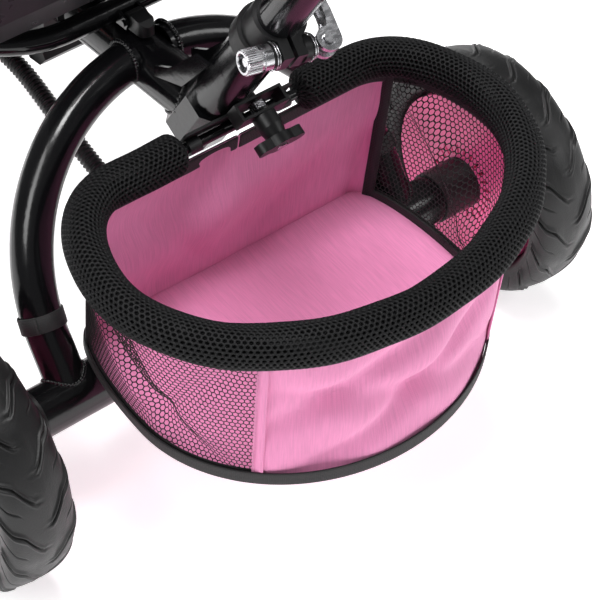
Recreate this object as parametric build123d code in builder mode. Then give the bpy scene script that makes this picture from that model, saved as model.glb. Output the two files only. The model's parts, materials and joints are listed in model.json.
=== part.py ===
"""A push-along tricycle stroller, in millimetres.

The origin is on the ground at the middle of the bounding box. +Z is up, the stroller faces -Y and +X is
its left side. The rear axle runs along X. The handle socket leans back in the YZ plane and carries the
push handle. The seat turns on a post that stands on the main tube.
"""

import os
from math import cos, sin, radians

from build123d import *

# ---------------------------------------------------------------- driving dimensions
REAR_RADIUS = 100.0
REAR_WIDTH = 57.0
TRACK = 485.0
AXLE_Y = 120.0
FRONT_RADIUS = 120.0
FRONT_WIDTH = 50.0

AXLE_TUBE_RADIUS = 19.0
AXLE_TUBE_BORE = 16.5
AXLE_TUBE_HALF = 185.0
BUSH_LENGTH = 20.0
AXLE_RADIUS = 6.0
RUNNING_GAP = 0.05
END_GAP = 0.5

ARCH_RADIUS = 153.0
ARCH_LEG = 46.0
ARCH_SLOPE = 58.0
ARCH_TUBE_RADIUS = 15.5
ARCH_END = 14.0

MAIN_RADIUS = 20.0
MAIN_Z = 262.0
MAIN_BEND_Y = -300.0

SOCKET_LEAN = 33.3
SOCKET_RADIUS = 18.5
SOCKET_TOP = 123.0
SOCKET_BOTTOM = -26.0
HANDLE_RADIUS = 16.0
UPPER_RADIUS = 13.95
LOWER_TUBE_TOP = 420.0
UPPER_TUBE_FOOT = 300.0
LOOP_LOW = 760.0
LOOP_HIGH = 860.0
LOOP_HALF_WIDTH = 150.0
LOOP_RADIUS = 9.0
FOAM_RADIUS = 15.0

STEER_RAKE = 8.0
STEER_TRAIL = 15.0
STEERER_RADIUS = 12.5
HEAD_RADIUS = 19.0
HEAD_BORE = 15.0
HEAD_LOW = 146.0
HEAD_HIGH = 226.0

SEAT_Y = -130.0
SEAT_RING_Z = 292.5
SEAT_PAN_Z = 318.0

RIM_TILT = 7.18
RIM_Z = 268.0
BASKET_BOTTOM_Z = 124.0
HOOP_RADIUS = 4.0
RIM_PAD_RADIUS = 15.0
GAP_LEFT = 47.0
GAP_RIGHT = -52.0

# ---------------------------------------------------------------- derived places
AXLE_CENTRE = Vector(0, AXLE_Y, REAR_RADIUS)
SOCKET_DIR = Vector(0, sin(radians(SOCKET_LEAN)), cos(radians(SOCKET_LEAN)))
SOCKET_FOOT = Vector(0, AXLE_Y - 34, 263)
LOOP_END_Y = SOCKET_FOOT.Y + LOOP_HIGH * SOCKET_DIR.Y + FOAM_RADIUS
FRONT_Y = FRONT_RADIUS - LOOP_END_Y
STEER_DIR = Vector(0, sin(radians(STEER_RAKE)), cos(radians(STEER_RAKE)))
WHEEL_MID = TRACK / 2
TYRE_IN = WHEEL_MID - REAR_WIDTH / 2
TYRE_OUT = WHEEL_MID + REAR_WIDTH / 2

# In the socket plane local x is +X, local y points back and down from the tube, and local z runs up it.
SOCKET = Plane(origin=SOCKET_FOOT, x_dir=(1, 0, 0), z_dir=SOCKET_DIR)
# In the steering plane local y points to the rear and local z runs up the steering axis.
STEER = Plane(origin=(0, FRONT_Y + STEER_TRAIL, FRONT_RADIUS), x_dir=(1, 0, 0), z_dir=STEER_DIR)
# In the arch plane local y runs forward and up from the rear axle.
ARCH = Plane(
    origin=AXLE_CENTRE,
    x_dir=(1, 0, 0),
    z_dir=(0, -sin(radians(ARCH_SLOPE)), -cos(radians(ARCH_SLOPE))),
)
TILTED_UP = Vector(0, sin(radians(RIM_TILT)), cos(radians(RIM_TILT)))
RIM = Plane(origin=(0, AXLE_Y, RIM_Z), x_dir=(1, 0, 0), z_dir=TILTED_UP)
BASKET_FLOOR = Plane(origin=(0, AXLE_Y, BASKET_BOTTOM_Z), x_dir=(1, 0, 0), z_dir=TILTED_UP)

pieces = {}


def across(x, y, z):
    """A plane that faces +X, for round things on an axis along X."""
    return Plane(origin=(x, y, z), x_dir=(0, 1, 0), z_dir=(1, 0, 0))


def ring(plane, outer, inner=0.0):
    """A disc, or an annulus where inner isn't zero."""
    with BuildSketch(plane) as section:
        Circle(outer)
        if inner:
            Circle(inner, mode=Mode.SUBTRACT)
    return section.sketch


def block(plane, x_low, x_high, y_low, y_high):
    """A rectangle given by its sides."""
    with BuildSketch(plane) as section:
        with Locations(((x_low + x_high) / 2, (y_low + y_high) / 2)):
            Rectangle(x_high - x_low, y_high - y_low)
    return section.sketch


def outline(plane, points):
    """A closed polygon."""
    with BuildSketch(plane) as section:
        with BuildLine():
            Polyline(*points, close=True)
        make_face()
    return section.sketch


def turned(centre_x, facing, profile):
    """A closed half section, in (radius, distance along the axis) pairs, for a wheel part.

    facing is 1 on the left side and -1 on the right side, so that both sides are mirror images.
    """
    plane = Plane(origin=(centre_x, AXLE_Y, REAR_RADIUS), x_dir=(0, 0, 1), z_dir=(0, facing, 0))
    with BuildSketch(plane) as section:
        with BuildLine():
            Polyline(*profile, close=True)
        make_face()
    return section.sketch


def tyre_section(centre_x, centre_y, outer, inner, width, shoulder):
    """The section of a solid tyre above its axle, with rounded shoulders at the tread."""
    plane = Plane(origin=(centre_x, centre_y, outer), x_dir=(0, 0, 1), z_dir=(0, -1, 0))
    with BuildSketch(plane) as section:
        with Locations(((outer + inner) / 2, 0)):
            Rectangle(outer - inner, width)
        fillet(section.vertices().group_by(Axis.X)[-1], shoulder)
    return section.sketch


def wheel_axis(centre_y, centre_z):
    return Axis((0, centre_y, centre_z), (1, 0, 0))


# ---------------------------------------------------------------- frame
with BuildPart() as socket_envelope:
    extrude(ring(SOCKET.offset(-200), SOCKET_RADIUS), amount=600)

with BuildPart() as axle_envelope:
    extrude(ring(across(-300, AXLE_Y, REAR_RADIUS), AXLE_TUBE_RADIUS), amount=600)

with BuildPart() as head_envelope:
    extrude(ring(STEER.offset(HEAD_LOW - 46), HEAD_RADIUS), amount=200)


def main_line(radius):
    """The main tube's outside as a solid: level under the seat, then rising to the head tube."""
    with BuildPart() as solid:
        with BuildLine(Plane.YZ) as path:
            FilletPolyline(
                (SOCKET_FOOT.Y, MAIN_Z),
                (MAIN_BEND_Y, MAIN_Z),
                (FRONT_Y + STEER_TRAIL + 25, MAIN_Z + 44),
                radius=110,
            )
        with BuildSketch(Plane(origin=path.line @ 0, x_dir=(1, 0, 0), z_dir=path.line % 0)):
            Circle(radius)
        sweep(path=path.line)
    return solid


with BuildPart() as main_tube:
    add(main_line(MAIN_RADIUS).part)
    add(main_line(MAIN_RADIUS - 2).part, mode=Mode.SUBTRACT)
    add(socket_envelope.part, mode=Mode.SUBTRACT)
    add(head_envelope.part, mode=Mode.SUBTRACT)
pieces["main_tube"] = main_tube

with BuildPart() as head_tube:
    extrude(ring(STEER.offset(HEAD_LOW), HEAD_RADIUS, HEAD_BORE), amount=HEAD_HIGH - HEAD_LOW)
pieces["head_tube"] = head_tube

with BuildPart() as headset_bushes:
    for sleeve, flange in ((HEAD_LOW, HEAD_LOW - 3), (HEAD_HIGH - 12, HEAD_HIGH)):
        extrude(ring(STEER.offset(sleeve), HEAD_BORE, STEERER_RADIUS + RUNNING_GAP), amount=12)
        extrude(ring(STEER.offset(flange), HEAD_RADIUS, STEERER_RADIUS + RUNNING_GAP), amount=3)
pieces["headset_bushes"] = headset_bushes


with BuildPart() as rear_arch:
    for side in (1, -1):
        with BuildLine(ARCH) as path:
            leg = Line((side * ARCH_RADIUS, 0), (side * ARCH_RADIUS, ARCH_LEG))
            CenterArc((0, ARCH_LEG), ARCH_RADIUS, 90 - 90 * side, 90 * side)
        with BuildSketch(Plane(origin=leg @ 0, x_dir=(1, 0, 0), z_dir=leg % 0)):
            Circle(ARCH_TUBE_RADIUS)
            Circle(ARCH_TUBE_RADIUS - 1.6, mode=Mode.SUBTRACT)
        sweep(path=path.line)
    add(axle_envelope.part, mode=Mode.SUBTRACT)
    add(main_line(MAIN_RADIUS).part, mode=Mode.SUBTRACT)
    extrude(block(Plane.XY, -ARCH_END, ARCH_END, 0, 60), amount=400, mode=Mode.SUBTRACT)
pieces["rear_arch"] = rear_arch

with BuildPart() as axle_tube:
    wall = ring(across(-AXLE_TUBE_HALF, AXLE_Y, REAR_RADIUS), AXLE_TUBE_RADIUS, AXLE_TUBE_BORE)
    extrude(wall, amount=2 * AXLE_TUBE_HALF)
pieces["axle_tube"] = axle_tube

with BuildPart() as axle_bushes:
    for start in (-AXLE_TUBE_HALF, AXLE_TUBE_HALF - BUSH_LENGTH):
        extrude(ring(across(start, AXLE_Y, REAR_RADIUS), AXLE_TUBE_BORE, AXLE_RADIUS), amount=BUSH_LENGTH)
pieces["axle_bushes"] = axle_bushes

AXLE_END = TYRE_OUT - 7
NUT_THICKNESS = 7.0
NUT_IN = TYRE_OUT - 15.5
with BuildPart() as rear_axle:
    extrude(ring(across(-AXLE_END, AXLE_Y, REAR_RADIUS), AXLE_RADIUS), amount=2 * AXLE_END)
    for start in (-NUT_IN - NUT_THICKNESS, NUT_IN):
        with BuildSketch(across(start, AXLE_Y, REAR_RADIUS)):
            RegularPolygon(9.5, 6)
        extrude(amount=NUT_THICKNESS)
pieces["rear_axle"] = rear_axle

# The socket is a tube with a lug round its foot. A slit at its mouth lets the clamp close it.
LUG_TOP = 20.0
with BuildPart() as handle_socket:
    wall = ring(SOCKET.offset(SOCKET_BOTTOM), SOCKET_RADIUS, HANDLE_RADIUS + RUNNING_GAP)
    extrude(wall, amount=SOCKET_TOP - SOCKET_BOTTOM)
    extrude(ring(SOCKET.offset(SOCKET_BOTTOM), SOCKET_RADIUS), amount=4)
    with BuildSketch(SOCKET.offset(80)):
        with Locations((0, 17)):
            Rectangle(3, 10)
    extrude(amount=60, mode=Mode.SUBTRACT)
pieces["handle_socket"] = handle_socket

with BuildPart() as socket_lug:
    with BuildSketch(SOCKET.offset(SOCKET_BOTTOM)):
        RegularPolygon(21.5, 8, major_radius=False, rotation=22.5)
        Circle(SOCKET_RADIUS, mode=Mode.SUBTRACT)
    extrude(amount=LUG_TOP - SOCKET_BOTTOM)
    add(main_line(MAIN_RADIUS).part, mode=Mode.SUBTRACT)

GUSSET_IN = 15.0
GUSSET_OUT = 17.5
# The gussets join the main tube to the socket.
with BuildPart() as frame_gussets:
    for low in (-GUSSET_OUT, GUSSET_IN):
        side = outline(across(low, 0, 0), ((48, 275), (80, 285), (112, 322), (96, 322), (66, 293), (48, 284)))
        extrude(side, amount=GUSSET_OUT - GUSSET_IN)
    add(main_line(MAIN_RADIUS).part, mode=Mode.SUBTRACT)
    add(socket_envelope.part, mode=Mode.SUBTRACT)
    add(socket_lug.part, mode=Mode.SUBTRACT)
    add(socket_lug.part)
pieces["frame_gussets"] = frame_gussets

# ---------------------------------------------------------------- rear wheels
RIM_RADIUS = 72.4
HUB_RADIUS = 14.0
COLLAR_RADIUS = 20.5
RIM_IN = TYRE_IN + 5 - WHEEL_MID
RIM_OUT = TYRE_OUT - 5 - WHEEL_MID
COVER_RADIUS = 66.0
COVER_THICKNESS = 4.0
DISC_THICKNESS = 4.0
SLOTS = 24


def rear_wheel(side, name):
    """Tyre, rim and hub with its cap of one rear wheel. Distances run outwards from the mid plane."""
    middle = side * WHEEL_MID
    axis = wheel_axis(AXLE_Y, REAR_RADIUS)
    with BuildPart() as tyre:
        revolve(tyre_section(middle, AXLE_Y, REAR_RADIUS, RIM_RADIUS, REAR_WIDTH, 17), axis=axis)
    with BuildPart() as rim:
        revolve(
            turned(middle, side, (
                (HUB_RADIUS, RIM_IN), (RIM_RADIUS, RIM_IN), (RIM_RADIUS, RIM_OUT),
                (COVER_RADIUS, RIM_OUT), (COVER_RADIUS, RIM_IN + DISC_THICKNESS),
                (HUB_RADIUS, RIM_IN + DISC_THICKNESS),
            )),
            axis=axis,
        )
        face = across(middle + side * RIM_IN, AXLE_Y, REAR_RADIUS)
        with BuildSketch(face):
            with PolarLocations(27.5, SLOTS):
                Rectangle(9, 2.4)
        extrude(amount=side * DISC_THICKNESS, mode=Mode.SUBTRACT)
        cover = across(middle + side * (RIM_OUT - COVER_THICKNESS), AXLE_Y, REAR_RADIUS)
        extrude(ring(cover, COVER_RADIUS, HUB_RADIUS), amount=side * COVER_THICKNESS)
        with BuildSketch(cover):
            with PolarLocations(42, 5):
                SlotOverall(28, 22)
        extrude(amount=side * COVER_THICKNESS, mode=Mode.SUBTRACT)
    hub_in = AXLE_TUBE_HALF + END_GAP - WHEEL_MID
    hub_out = NUT_IN - END_GAP - WHEEL_MID
    bore = AXLE_RADIUS + RUNNING_GAP
    with BuildPart() as hub:
        revolve(
            turned(middle, side, (
                (bore, hub_in), (COLLAR_RADIUS, hub_in), (COLLAR_RADIUS, RIM_IN),
                (HUB_RADIUS, RIM_IN), (HUB_RADIUS, hub_out), (bore, hub_out),
            )),
            axis=axis,
        )
        revolve(
            turned(middle, side, (
                (12, RIM_OUT), (18, RIM_OUT), (17, RIM_OUT + 3.5), (13, RIM_OUT + 4.6), (0, RIM_OUT + 5),
                (0, RIM_OUT + 2.6), (12, RIM_OUT + 2.6),
            )),
            axis=axis,
        )
    pieces["rear_tyre_" + name] = tyre
    pieces["rear_rim_" + name] = rim
    pieces["rear_hub_" + name] = hub


rear_wheel(1, "left")
rear_wheel(-1, "right")

# ---------------------------------------------------------------- steering and front wheel
FRONT_AXLE = Vector(0, FRONT_Y, FRONT_RADIUS)
BLADE_X = 40.0
BLADE_RADIUS = 10.0
CROWN_LOW = 132.0
CROWN_HIGH = 142.5
STEM_TOP = 440.0
BAR_FORWARD = 35.0
CRANK_LENGTH = 70.0
CRANK_IN = 52.0
CRANK_OUT = 60.0
PEDAL_IN = 63.0
PEDAL_OUT = 135.0

with BuildPart() as fork:
    crown_half = BLADE_X + BLADE_RADIUS
    crown = block(STEER.offset(CROWN_LOW), -crown_half, crown_half, -13, 13)
    extrude(crown, amount=CROWN_HIGH - CROWN_LOW)
    for x in (-BLADE_X, BLADE_X):
        with BuildSketch(STEER.offset(6)):
            with Locations((x, 0)):
                Circle(BLADE_RADIUS)
        extrude(amount=CROWN_LOW - 6)
        dropout = across(x - 3, FRONT_Y, FRONT_RADIUS)
        extrude(ring(dropout, 15), amount=6)
        tab = outline(dropout, ((-12, -9), (18, -9), (STEER_TRAIL + 10, 22), (6, 22), (-12, 9)))
        extrude(tab, amount=6)
        bore = ring(across(x - 11, FRONT_Y, FRONT_RADIUS), AXLE_RADIUS + RUNNING_GAP)
        extrude(bore, amount=22, mode=Mode.SUBTRACT)
    extrude(ring(STEER.offset(CROWN_HIGH), STEERER_RADIUS, 10.5), amount=STEM_TOP - CROWN_HIGH - 20)
pieces["fork"] = fork

BAR_LEVEL = STEM_TOP - 2
BAR = STEER.offset(BAR_LEVEL)
with BuildPart() as stem:
    extrude(ring(STEER.offset(STEM_TOP - 60), 16.5, STEERER_RADIUS), amount=40)
    extrude(ring(STEER.offset(STEM_TOP - 20), 16.5), amount=32)
    extrude(block(STEER.offset(STEM_TOP - 14), -13, 13, -BAR_FORWARD, 0), amount=24)
    clamp_foot = STEER.from_local_coords(Vector(-22, -BAR_FORWARD, BAR_LEVEL))
    clamp_ring = Plane(origin=clamp_foot, x_dir=STEER.y_dir, z_dir=(1, 0, 0))
    extrude(ring(clamp_ring, 16), amount=44)
    extrude(ring(clamp_ring.offset(-1), 11), amount=46, mode=Mode.SUBTRACT)
pieces["stem"] = stem


def bar_solid(radius, inner, start, end):
    """A stretch of the handlebar between two X positions, or a sleeve on it."""
    with BuildPart() as solid:
        with BuildLine(BAR) as path:
            FilletPolyline(
                (-170, -BAR_FORWARD + 12), (-60, -BAR_FORWARD),
                (60, -BAR_FORWARD), (170, -BAR_FORWARD + 12), radius=60,
            )
        with BuildSketch(Plane(origin=path.line @ 0, x_dir=BAR.z_dir, z_dir=path.line % 0)):
            Circle(radius)
            if inner:
                Circle(inner, mode=Mode.SUBTRACT)
        sweep(path=path.line)
        extrude(block(Plane.XY, start, end, -900, 900), amount=900, mode=Mode.INTERSECT)
    return solid


with BuildPart() as handlebar:
    add(bar_solid(11, 9, -200, 200).part)
pieces["handlebar"] = handlebar

with BuildPart() as handlebar_grips:
    add(bar_solid(15, 11, -200, -78).part)
    add(bar_solid(15, 11, 78, 200).part)
pieces["handlebar_grips"] = handlebar_grips

# The mudguard's section is drawn behind the wheel and turned forward over its top.
MUDGUARD_START = 35.0
MUDGUARD_SWEEP = 115.0
with BuildPart() as mudguard:
    start_dir = Vector(0, cos(radians(MUDGUARD_START)), sin(radians(MUDGUARD_START)))
    tangent = Vector(0, sin(radians(MUDGUARD_START)), -cos(radians(MUDGUARD_START)))
    with BuildSketch(Plane(origin=FRONT_AXLE, x_dir=start_dir, z_dir=tangent)):
        with Locations((129.4, 0)):
            Rectangle(2.4, 54)
        with Locations((127.6, -25.8), (127.6, 25.8)):
            Rectangle(6, 2.4)
    revolve(axis=wheel_axis(FRONT_Y, FRONT_RADIUS), revolution_arc=MUDGUARD_SWEEP)
pieces["mudguard"] = mudguard

with BuildPart() as front_tyre:
    revolve(
        tyre_section(0, FRONT_Y, FRONT_RADIUS, 92, FRONT_WIDTH, 15), axis=wheel_axis(FRONT_Y, FRONT_RADIUS)
    )
pieces["front_tyre"] = front_tyre

with BuildPart() as front_rim:
    with BuildSketch(Plane(origin=FRONT_AXLE, x_dir=(0, 0, 1), z_dir=(0, -1, 0))):
        with BuildLine():
            Polyline(
                (6, -24), (20, -24), (22, -6), (84, -5), (86, -20), (92, -20),
                (92, 20), (86, 20), (84, 5), (22, 6), (20, 24), (6, 24), close=True,
            )
        make_face()
    revolve(axis=wheel_axis(FRONT_Y, FRONT_RADIUS))
    with BuildSketch(across(-8, FRONT_Y, FRONT_RADIUS)):
        with PolarLocations(54, 6):
            SlotOverall(44, 26)
    extrude(amount=16, mode=Mode.SUBTRACT)
pieces["front_rim"] = front_rim

with BuildPart() as front_crank:
    extrude(ring(across(-CRANK_OUT, FRONT_Y, FRONT_RADIUS), AXLE_RADIUS), amount=2 * CRANK_OUT)
    for side in (1, -1):
        end_y = FRONT_Y - side * CRANK_LENGTH
        arm_low = CRANK_IN if side > 0 else -CRANK_OUT
        with BuildSketch(across(arm_low, FRONT_Y - side * CRANK_LENGTH / 2, FRONT_RADIUS)):
            SlotCenterToCenter(CRANK_LENGTH, 18)
        extrude(amount=CRANK_OUT - CRANK_IN)
        pin_low = CRANK_OUT if side > 0 else -PEDAL_OUT - 5
        extrude(ring(across(pin_low, end_y, FRONT_RADIUS), 4), amount=PEDAL_OUT + 5 - CRANK_OUT)
        head_low = PEDAL_OUT + 1 if side > 0 else -PEDAL_OUT - 5
        extrude(ring(across(head_low, end_y, FRONT_RADIUS), 7), amount=4)
pieces["front_crank"] = front_crank


def pedal(side):
    """A block pedal on its pin, with two grip slots through it."""
    centre_y = FRONT_Y - side * CRANK_LENGTH
    low = PEDAL_IN if side > 0 else -PEDAL_OUT
    with BuildPart() as body:
        with BuildSketch(across(low, centre_y, FRONT_RADIUS)):
            RectangleRounded(62, 22, 6)
            Circle(4 + RUNNING_GAP, mode=Mode.SUBTRACT)
        extrude(amount=PEDAL_OUT - PEDAL_IN)
        with BuildSketch(Plane(origin=(low + (PEDAL_OUT - PEDAL_IN) / 2, centre_y, FRONT_RADIUS - 20))):
            with Locations((0, 19), (0, -19)):
                SlotOverall(48, 10)
        extrude(amount=40, mode=Mode.SUBTRACT)
    return body


pieces["pedal_left"] = pedal(1)
pieces["pedal_right"] = pedal(-1)

# ---------------------------------------------------------------- seat mount and footrest
POST_RADIUS = 15.0
MOUNT_TOP = 288.0
FOOTREST_Y = -196.0
FOOTREST_Z = 226.0
TREAD_HALF = 110.0


def level(z, x=0.0, y=SEAT_Y):
    """A level plane, on the seat's axis where x and y are left out."""
    return Plane(origin=(x, y, z))


# The mount sits over the main tube and its lobed lower half hangs below it and carries the footrest's pin.
with BuildPart() as seat_mount:
    extrude(block(level(MAIN_Z), -24, 24, -48, 48), amount=22)
    extrude(ring(level(284), 48), amount=MOUNT_TOP - 284)
    extrude(ring(level(MOUNT_TOP), POST_RADIUS), amount=15)
    lobes = outline(
        across(-24, 0, 0),
        ((-208, 262), (-82, 262), (-82, 236), (-90, 224), (-84, 214), (-92, 205), (-106, 204),
         (-112, 212), (-150, 212), (-158, 204), (-172, 206), (-178, 216), (-208, 216)),
    )
    extrude(lobes, amount=48)
    add(main_line(MAIN_RADIUS).part, mode=Mode.SUBTRACT)
    extrude(block(level(200, 0, 0), -13.3, 13.3, -230, -176), amount=42.5, mode=Mode.SUBTRACT)
    extrude(ring(across(-26, FOOTREST_Y, FOOTREST_Z), 4), amount=52)
    for low in (-27, 24):
        extrude(ring(across(low, FOOTREST_Y, FOOTREST_Z), 6.5), amount=3)
pieces["seat_mount"] = seat_mount

with BuildPart() as footrest:
    extrude(ring(across(-12, FOOTREST_Y, FOOTREST_Z), 8.5), amount=24)
    extrude(outline(across(-12, 0, 0), ((-190, 220), (-201, 233), (-262, 186), (-256, 176))), amount=24)
    extrude(ring(across(-13, FOOTREST_Y, FOOTREST_Z), 4 + RUNNING_GAP), amount=26, mode=Mode.SUBTRACT)
    tread = outline(
        across(-TREAD_HALF, 0, 0),
        ((-212, 176), (-212, 184), (-268, 184), (-276, 190), (-279, 186), (-270, 176)),
    )
    extrude(tread, amount=2 * TREAD_HALF)
    with BuildSketch(level(170, 0, -240)):
        with Locations(*[(side * x, y) for side in (1, -1) for x in (36, 70) for y in (-11, 11)]):
            SlotOverall(26, 7)
    extrude(amount=20, mode=Mode.SUBTRACT)
pieces["footrest"] = footrest

# ---------------------------------------------------------------- seat
RING_HALF = 116.5
RING_TUBE = 8.5
LOCK_Y = 1.5
LOCK_Z = 290.5
LOCK_END = 21.0
LOCK_WIDTH = 13.0
CHEEK_IN = 7.0
CHEEK_OUT = 9.5
PIN_RADIUS = 2.5
# A bent tube round a ribbed plate. Two cheeks behind the tube hold the turn lock's pin.
with BuildPart() as seat_base_ring:
    for low in (-CHEEK_OUT, CHEEK_IN):
        cheek = outline(across(low, 0, 0), ((-14, 286), (4, 286), (6, 290.5), (4, 295.5), (-12, 298)))
        extrude(cheek, amount=CHEEK_OUT - CHEEK_IN)
    extrude(ring(across(-11, LOCK_Y, LOCK_Z), PIN_RADIUS), amount=22)
    with BuildLine(level(SEAT_RING_Z)) as ring_path:
        FilletPolyline(
            (RING_HALF, RING_HALF), (RING_HALF, -RING_HALF),
            (-RING_HALF, -RING_HALF), (-RING_HALF, RING_HALF), radius=70, close=True,
        )
    with BuildSketch(Plane(origin=ring_path.line @ 0, x_dir=(0, 0, 1), z_dir=ring_path.line % 0)):
        Circle(RING_TUBE)
    sweep(path=ring_path.line)
    extrude(ring(level(289), 50), amount=14)
    extrude(ring(level(303), 42), amount=15)
    with BuildSketch(level(290)):
        with PolarLocations(78, 8, start_angle=22.5):
            Rectangle(62, 5)
    extrude(amount=9)
    extrude(ring(level(MOUNT_TOP), POST_RADIUS + RUNNING_GAP), amount=16, mode=Mode.SUBTRACT)
pieces["seat_base_ring"] = seat_base_ring

SHELL_HALF = 132.0
LEVER_PEG_X = 55.0
LEVER_PEG_Y = -90.0
shell_profile = (
    (-284, 338), (-270, 318), (-10, 318), (14, 332), (20, 350), (60, 690),
    (49, 691), (9, 352), (-12, 330), (-268, 330), (-276, 342),
)
wing_profile = (
    (-270, 318.5), (-10, 318.5), (13.5, 332.5), (19, 350), (58, 680), (40, 640),
    (0, 500), (-30, 440), (-90, 402), (-230, 392), (-268, 350),
)
with BuildPart() as seat_shell:
    extrude(outline(across(-SHELL_HALF, 0, 0), shell_profile), amount=2 * SHELL_HALF)
    for low in (-SHELL_HALF, SHELL_HALF - 5):
        extrude(outline(across(low, 0, 0), wing_profile), amount=5)
    extrude(ring(level(302, LEVER_PEG_X, LEVER_PEG_Y), 3), amount=18)
    extrude(ring(level(301, LEVER_PEG_X, LEVER_PEG_Y), 6), amount=2)
pieces["seat_shell"] = seat_shell

with BuildPart() as seat_pad:
    pad_profile = (
        (-267, 330.2), (-12.5, 330.2), (8.7, 352), (48, 684), (27, 684),
        (-12, 372), (-30, 358), (-262, 358), (-272, 346),
    )
    extrude(outline(across(-122, 0, 0), pad_profile), amount=244)
pieces["seat_pad"] = seat_pad

with BuildPart() as harness:
    shoulder_profile = (
        (-12.2, 372), (21.5, 640), (19, 640), (-16, 372), (-34, 361), (-34, 358.2), (-30.2, 358.2),
    )
    for low in (-52, 28):
        extrude(outline(across(low, 0, 0), shoulder_profile), amount=24)
    for low, high in ((-100, -26), (26, 100)):
        extrude(block(level(358.2, 0, 0), low, high, -70, -44), amount=2.5)
    extrude(block(level(358.2, 0, 0), -24, 24, -78, -38), amount=12)
pieces["harness"] = harness

with BuildPart() as seat_release_lever:
    with BuildSketch(level(305, 0, 0)) as paddle:
        with BuildLine():
            Polyline(
                (49, -99), (62, -97), (89, -50), (91, -33), (80, -29), (70, -46), (48, -84), close=True
            )
        make_face()
        fillet(paddle.vertices(), 3.5)
    extrude(amount=9)
    extrude(ring(level(304, LEVER_PEG_X, LEVER_PEG_Y), 3 + RUNNING_GAP), amount=12, mode=Mode.SUBTRACT)
pieces["seat_release_lever"] = seat_release_lever

ARM_PIVOT_X = 143.0
ARM_PIVOT_Y = -110.0
ARM_Z = 471.0
CANOPY_Y = 20.0
CANOPY_Z = 640.0
with BuildPart() as seat_fittings:
    for side in (1, -1):
        x = side * ARM_PIVOT_X
        low = SHELL_HALF if side > 0 else -ARM_PIVOT_X
        high = low + ARM_PIVOT_X - SHELL_HALF
        extrude(block(level(340, 0, 0), low, high, ARM_PIVOT_Y - 8, ARM_PIVOT_Y + 8), amount=44)
        extrude(ring(level(340, x, ARM_PIVOT_Y), 8), amount=112)
        extrude(ring(level(452, x, ARM_PIVOT_Y), 6), amount=38)
        extrude(ring(level(486, x, ARM_PIVOT_Y), 9), amount=5)
        low = SHELL_HALF if side > 0 else -SHELL_HALF - 7
        extrude(ring(across(low, CANOPY_Y, CANOPY_Z), 12), amount=7)
        low = SHELL_HALF + 7 if side > 0 else -163
        extrude(ring(across(low, CANOPY_Y, CANOPY_Z), 3), amount=163 - SHELL_HALF - 7)
        low = 161 if side > 0 else -165
        extrude(ring(across(low, CANOPY_Y, CANOPY_Z), 7), amount=4)
pieces["seat_fittings"] = seat_fittings


def safety_arm(side):
    """A padded arm that turns on its post and meets the other arm in front of the child."""
    with BuildPart() as arm:
        with BuildLine(level(ARM_Z, 0, 0)) as path:
            FilletPolyline(
                (side * ARM_PIVOT_X, ARM_PIVOT_Y), (side * ARM_PIVOT_X, -250),
                (side * 90, -312), (side * 2, -318), radius=45,
            )
        with BuildSketch(Plane(origin=path.line @ 0, x_dir=(0, 0, 1), z_dir=path.line % 0)):
            Circle(13)
        sweep(path=path.line)
        hub = level(ARM_Z - 14, side * ARM_PIVOT_X, ARM_PIVOT_Y)
        extrude(ring(hub, 15), amount=28)
        extrude(ring(hub.offset(-6), 6 + RUNNING_GAP), amount=40, mode=Mode.SUBTRACT)
    return arm


pieces["safety_arm_left"] = safety_arm(1)
pieces["safety_arm_right"] = safety_arm(-1)

# ---------------------------------------------------------------- canopy
BOW_RADIUS = 3.2
BOW_CORNER = 90.0
CLOTH_GAP = 6.6


def bow_plane(lean):
    """A plane through the canopy pivots whose local y runs up the bow. lean is forward of vertical."""
    up = Vector(0, -sin(radians(lean)), cos(radians(lean)))
    return Plane(origin=(0, CANOPY_Y, CANOPY_Z), x_dir=(1, 0, 0), z_dir=Vector(1, 0, 0).cross(up))


def bow(lean, half_width, height):
    """A U-shaped wire bow with an eye at each foot."""
    plane = bow_plane(lean)
    with BuildPart() as wire:
        with BuildLine(plane) as path:
            FilletPolyline(
                (-half_width, 5), (-half_width, height),
                (half_width, height), (half_width, 5), radius=BOW_CORNER,
            )
        with BuildSketch(Plane(origin=path.line @ 0, x_dir=(1, 0, 0), z_dir=path.line % 0)):
            Circle(BOW_RADIUS)
        sweep(path=path.line)
        for x in (-half_width, half_width):
            extrude(ring(across(x - 3, CANOPY_Y, CANOPY_Z), 8), amount=6)
            extrude(ring(across(x - 4, CANOPY_Y, CANOPY_Z), 3 + RUNNING_GAP), amount=8, mode=Mode.SUBTRACT)
    return wire


BOWS = (
    ("canopy_bow_rear", -22.0, 143.0, 262.0),
    ("canopy_bow_middle", 16.0, 150.0, 318.0),
    ("canopy_bow_front", 56.0, 157.0, 300.0),
)
for bow_name, lean, half_width, height in BOWS:
    pieces[bow_name] = bow(lean, half_width, height)


def canopy_band(lean, half_width, height):
    """The cloth's section over one bow: a U-shaped band."""
    with BuildSketch(bow_plane(lean)) as section:
        for grow, mode in ((CLOTH_GAP + 2.0, Mode.ADD), (CLOTH_GAP, Mode.SUBTRACT)):
            side, top = half_width + grow, height + grow
            with BuildLine():
                rise = FilletPolyline(
                    (-side, 40), (-side, top), (side, top), (side, 40), radius=BOW_CORNER + grow - CLOTH_GAP
                )
                Line(rise @ 1, rise @ 0)
            make_face(mode=mode)
    return section.sketch


with BuildPart() as canopy_fabric:
    bands = [canopy_band(lean, half_width, height) for _, lean, half_width, height in BOWS]
    loft(bands[:2], ruled=True)
    loft(bands[1:], ruled=True)
pieces["canopy_fabric"] = canopy_fabric

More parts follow.
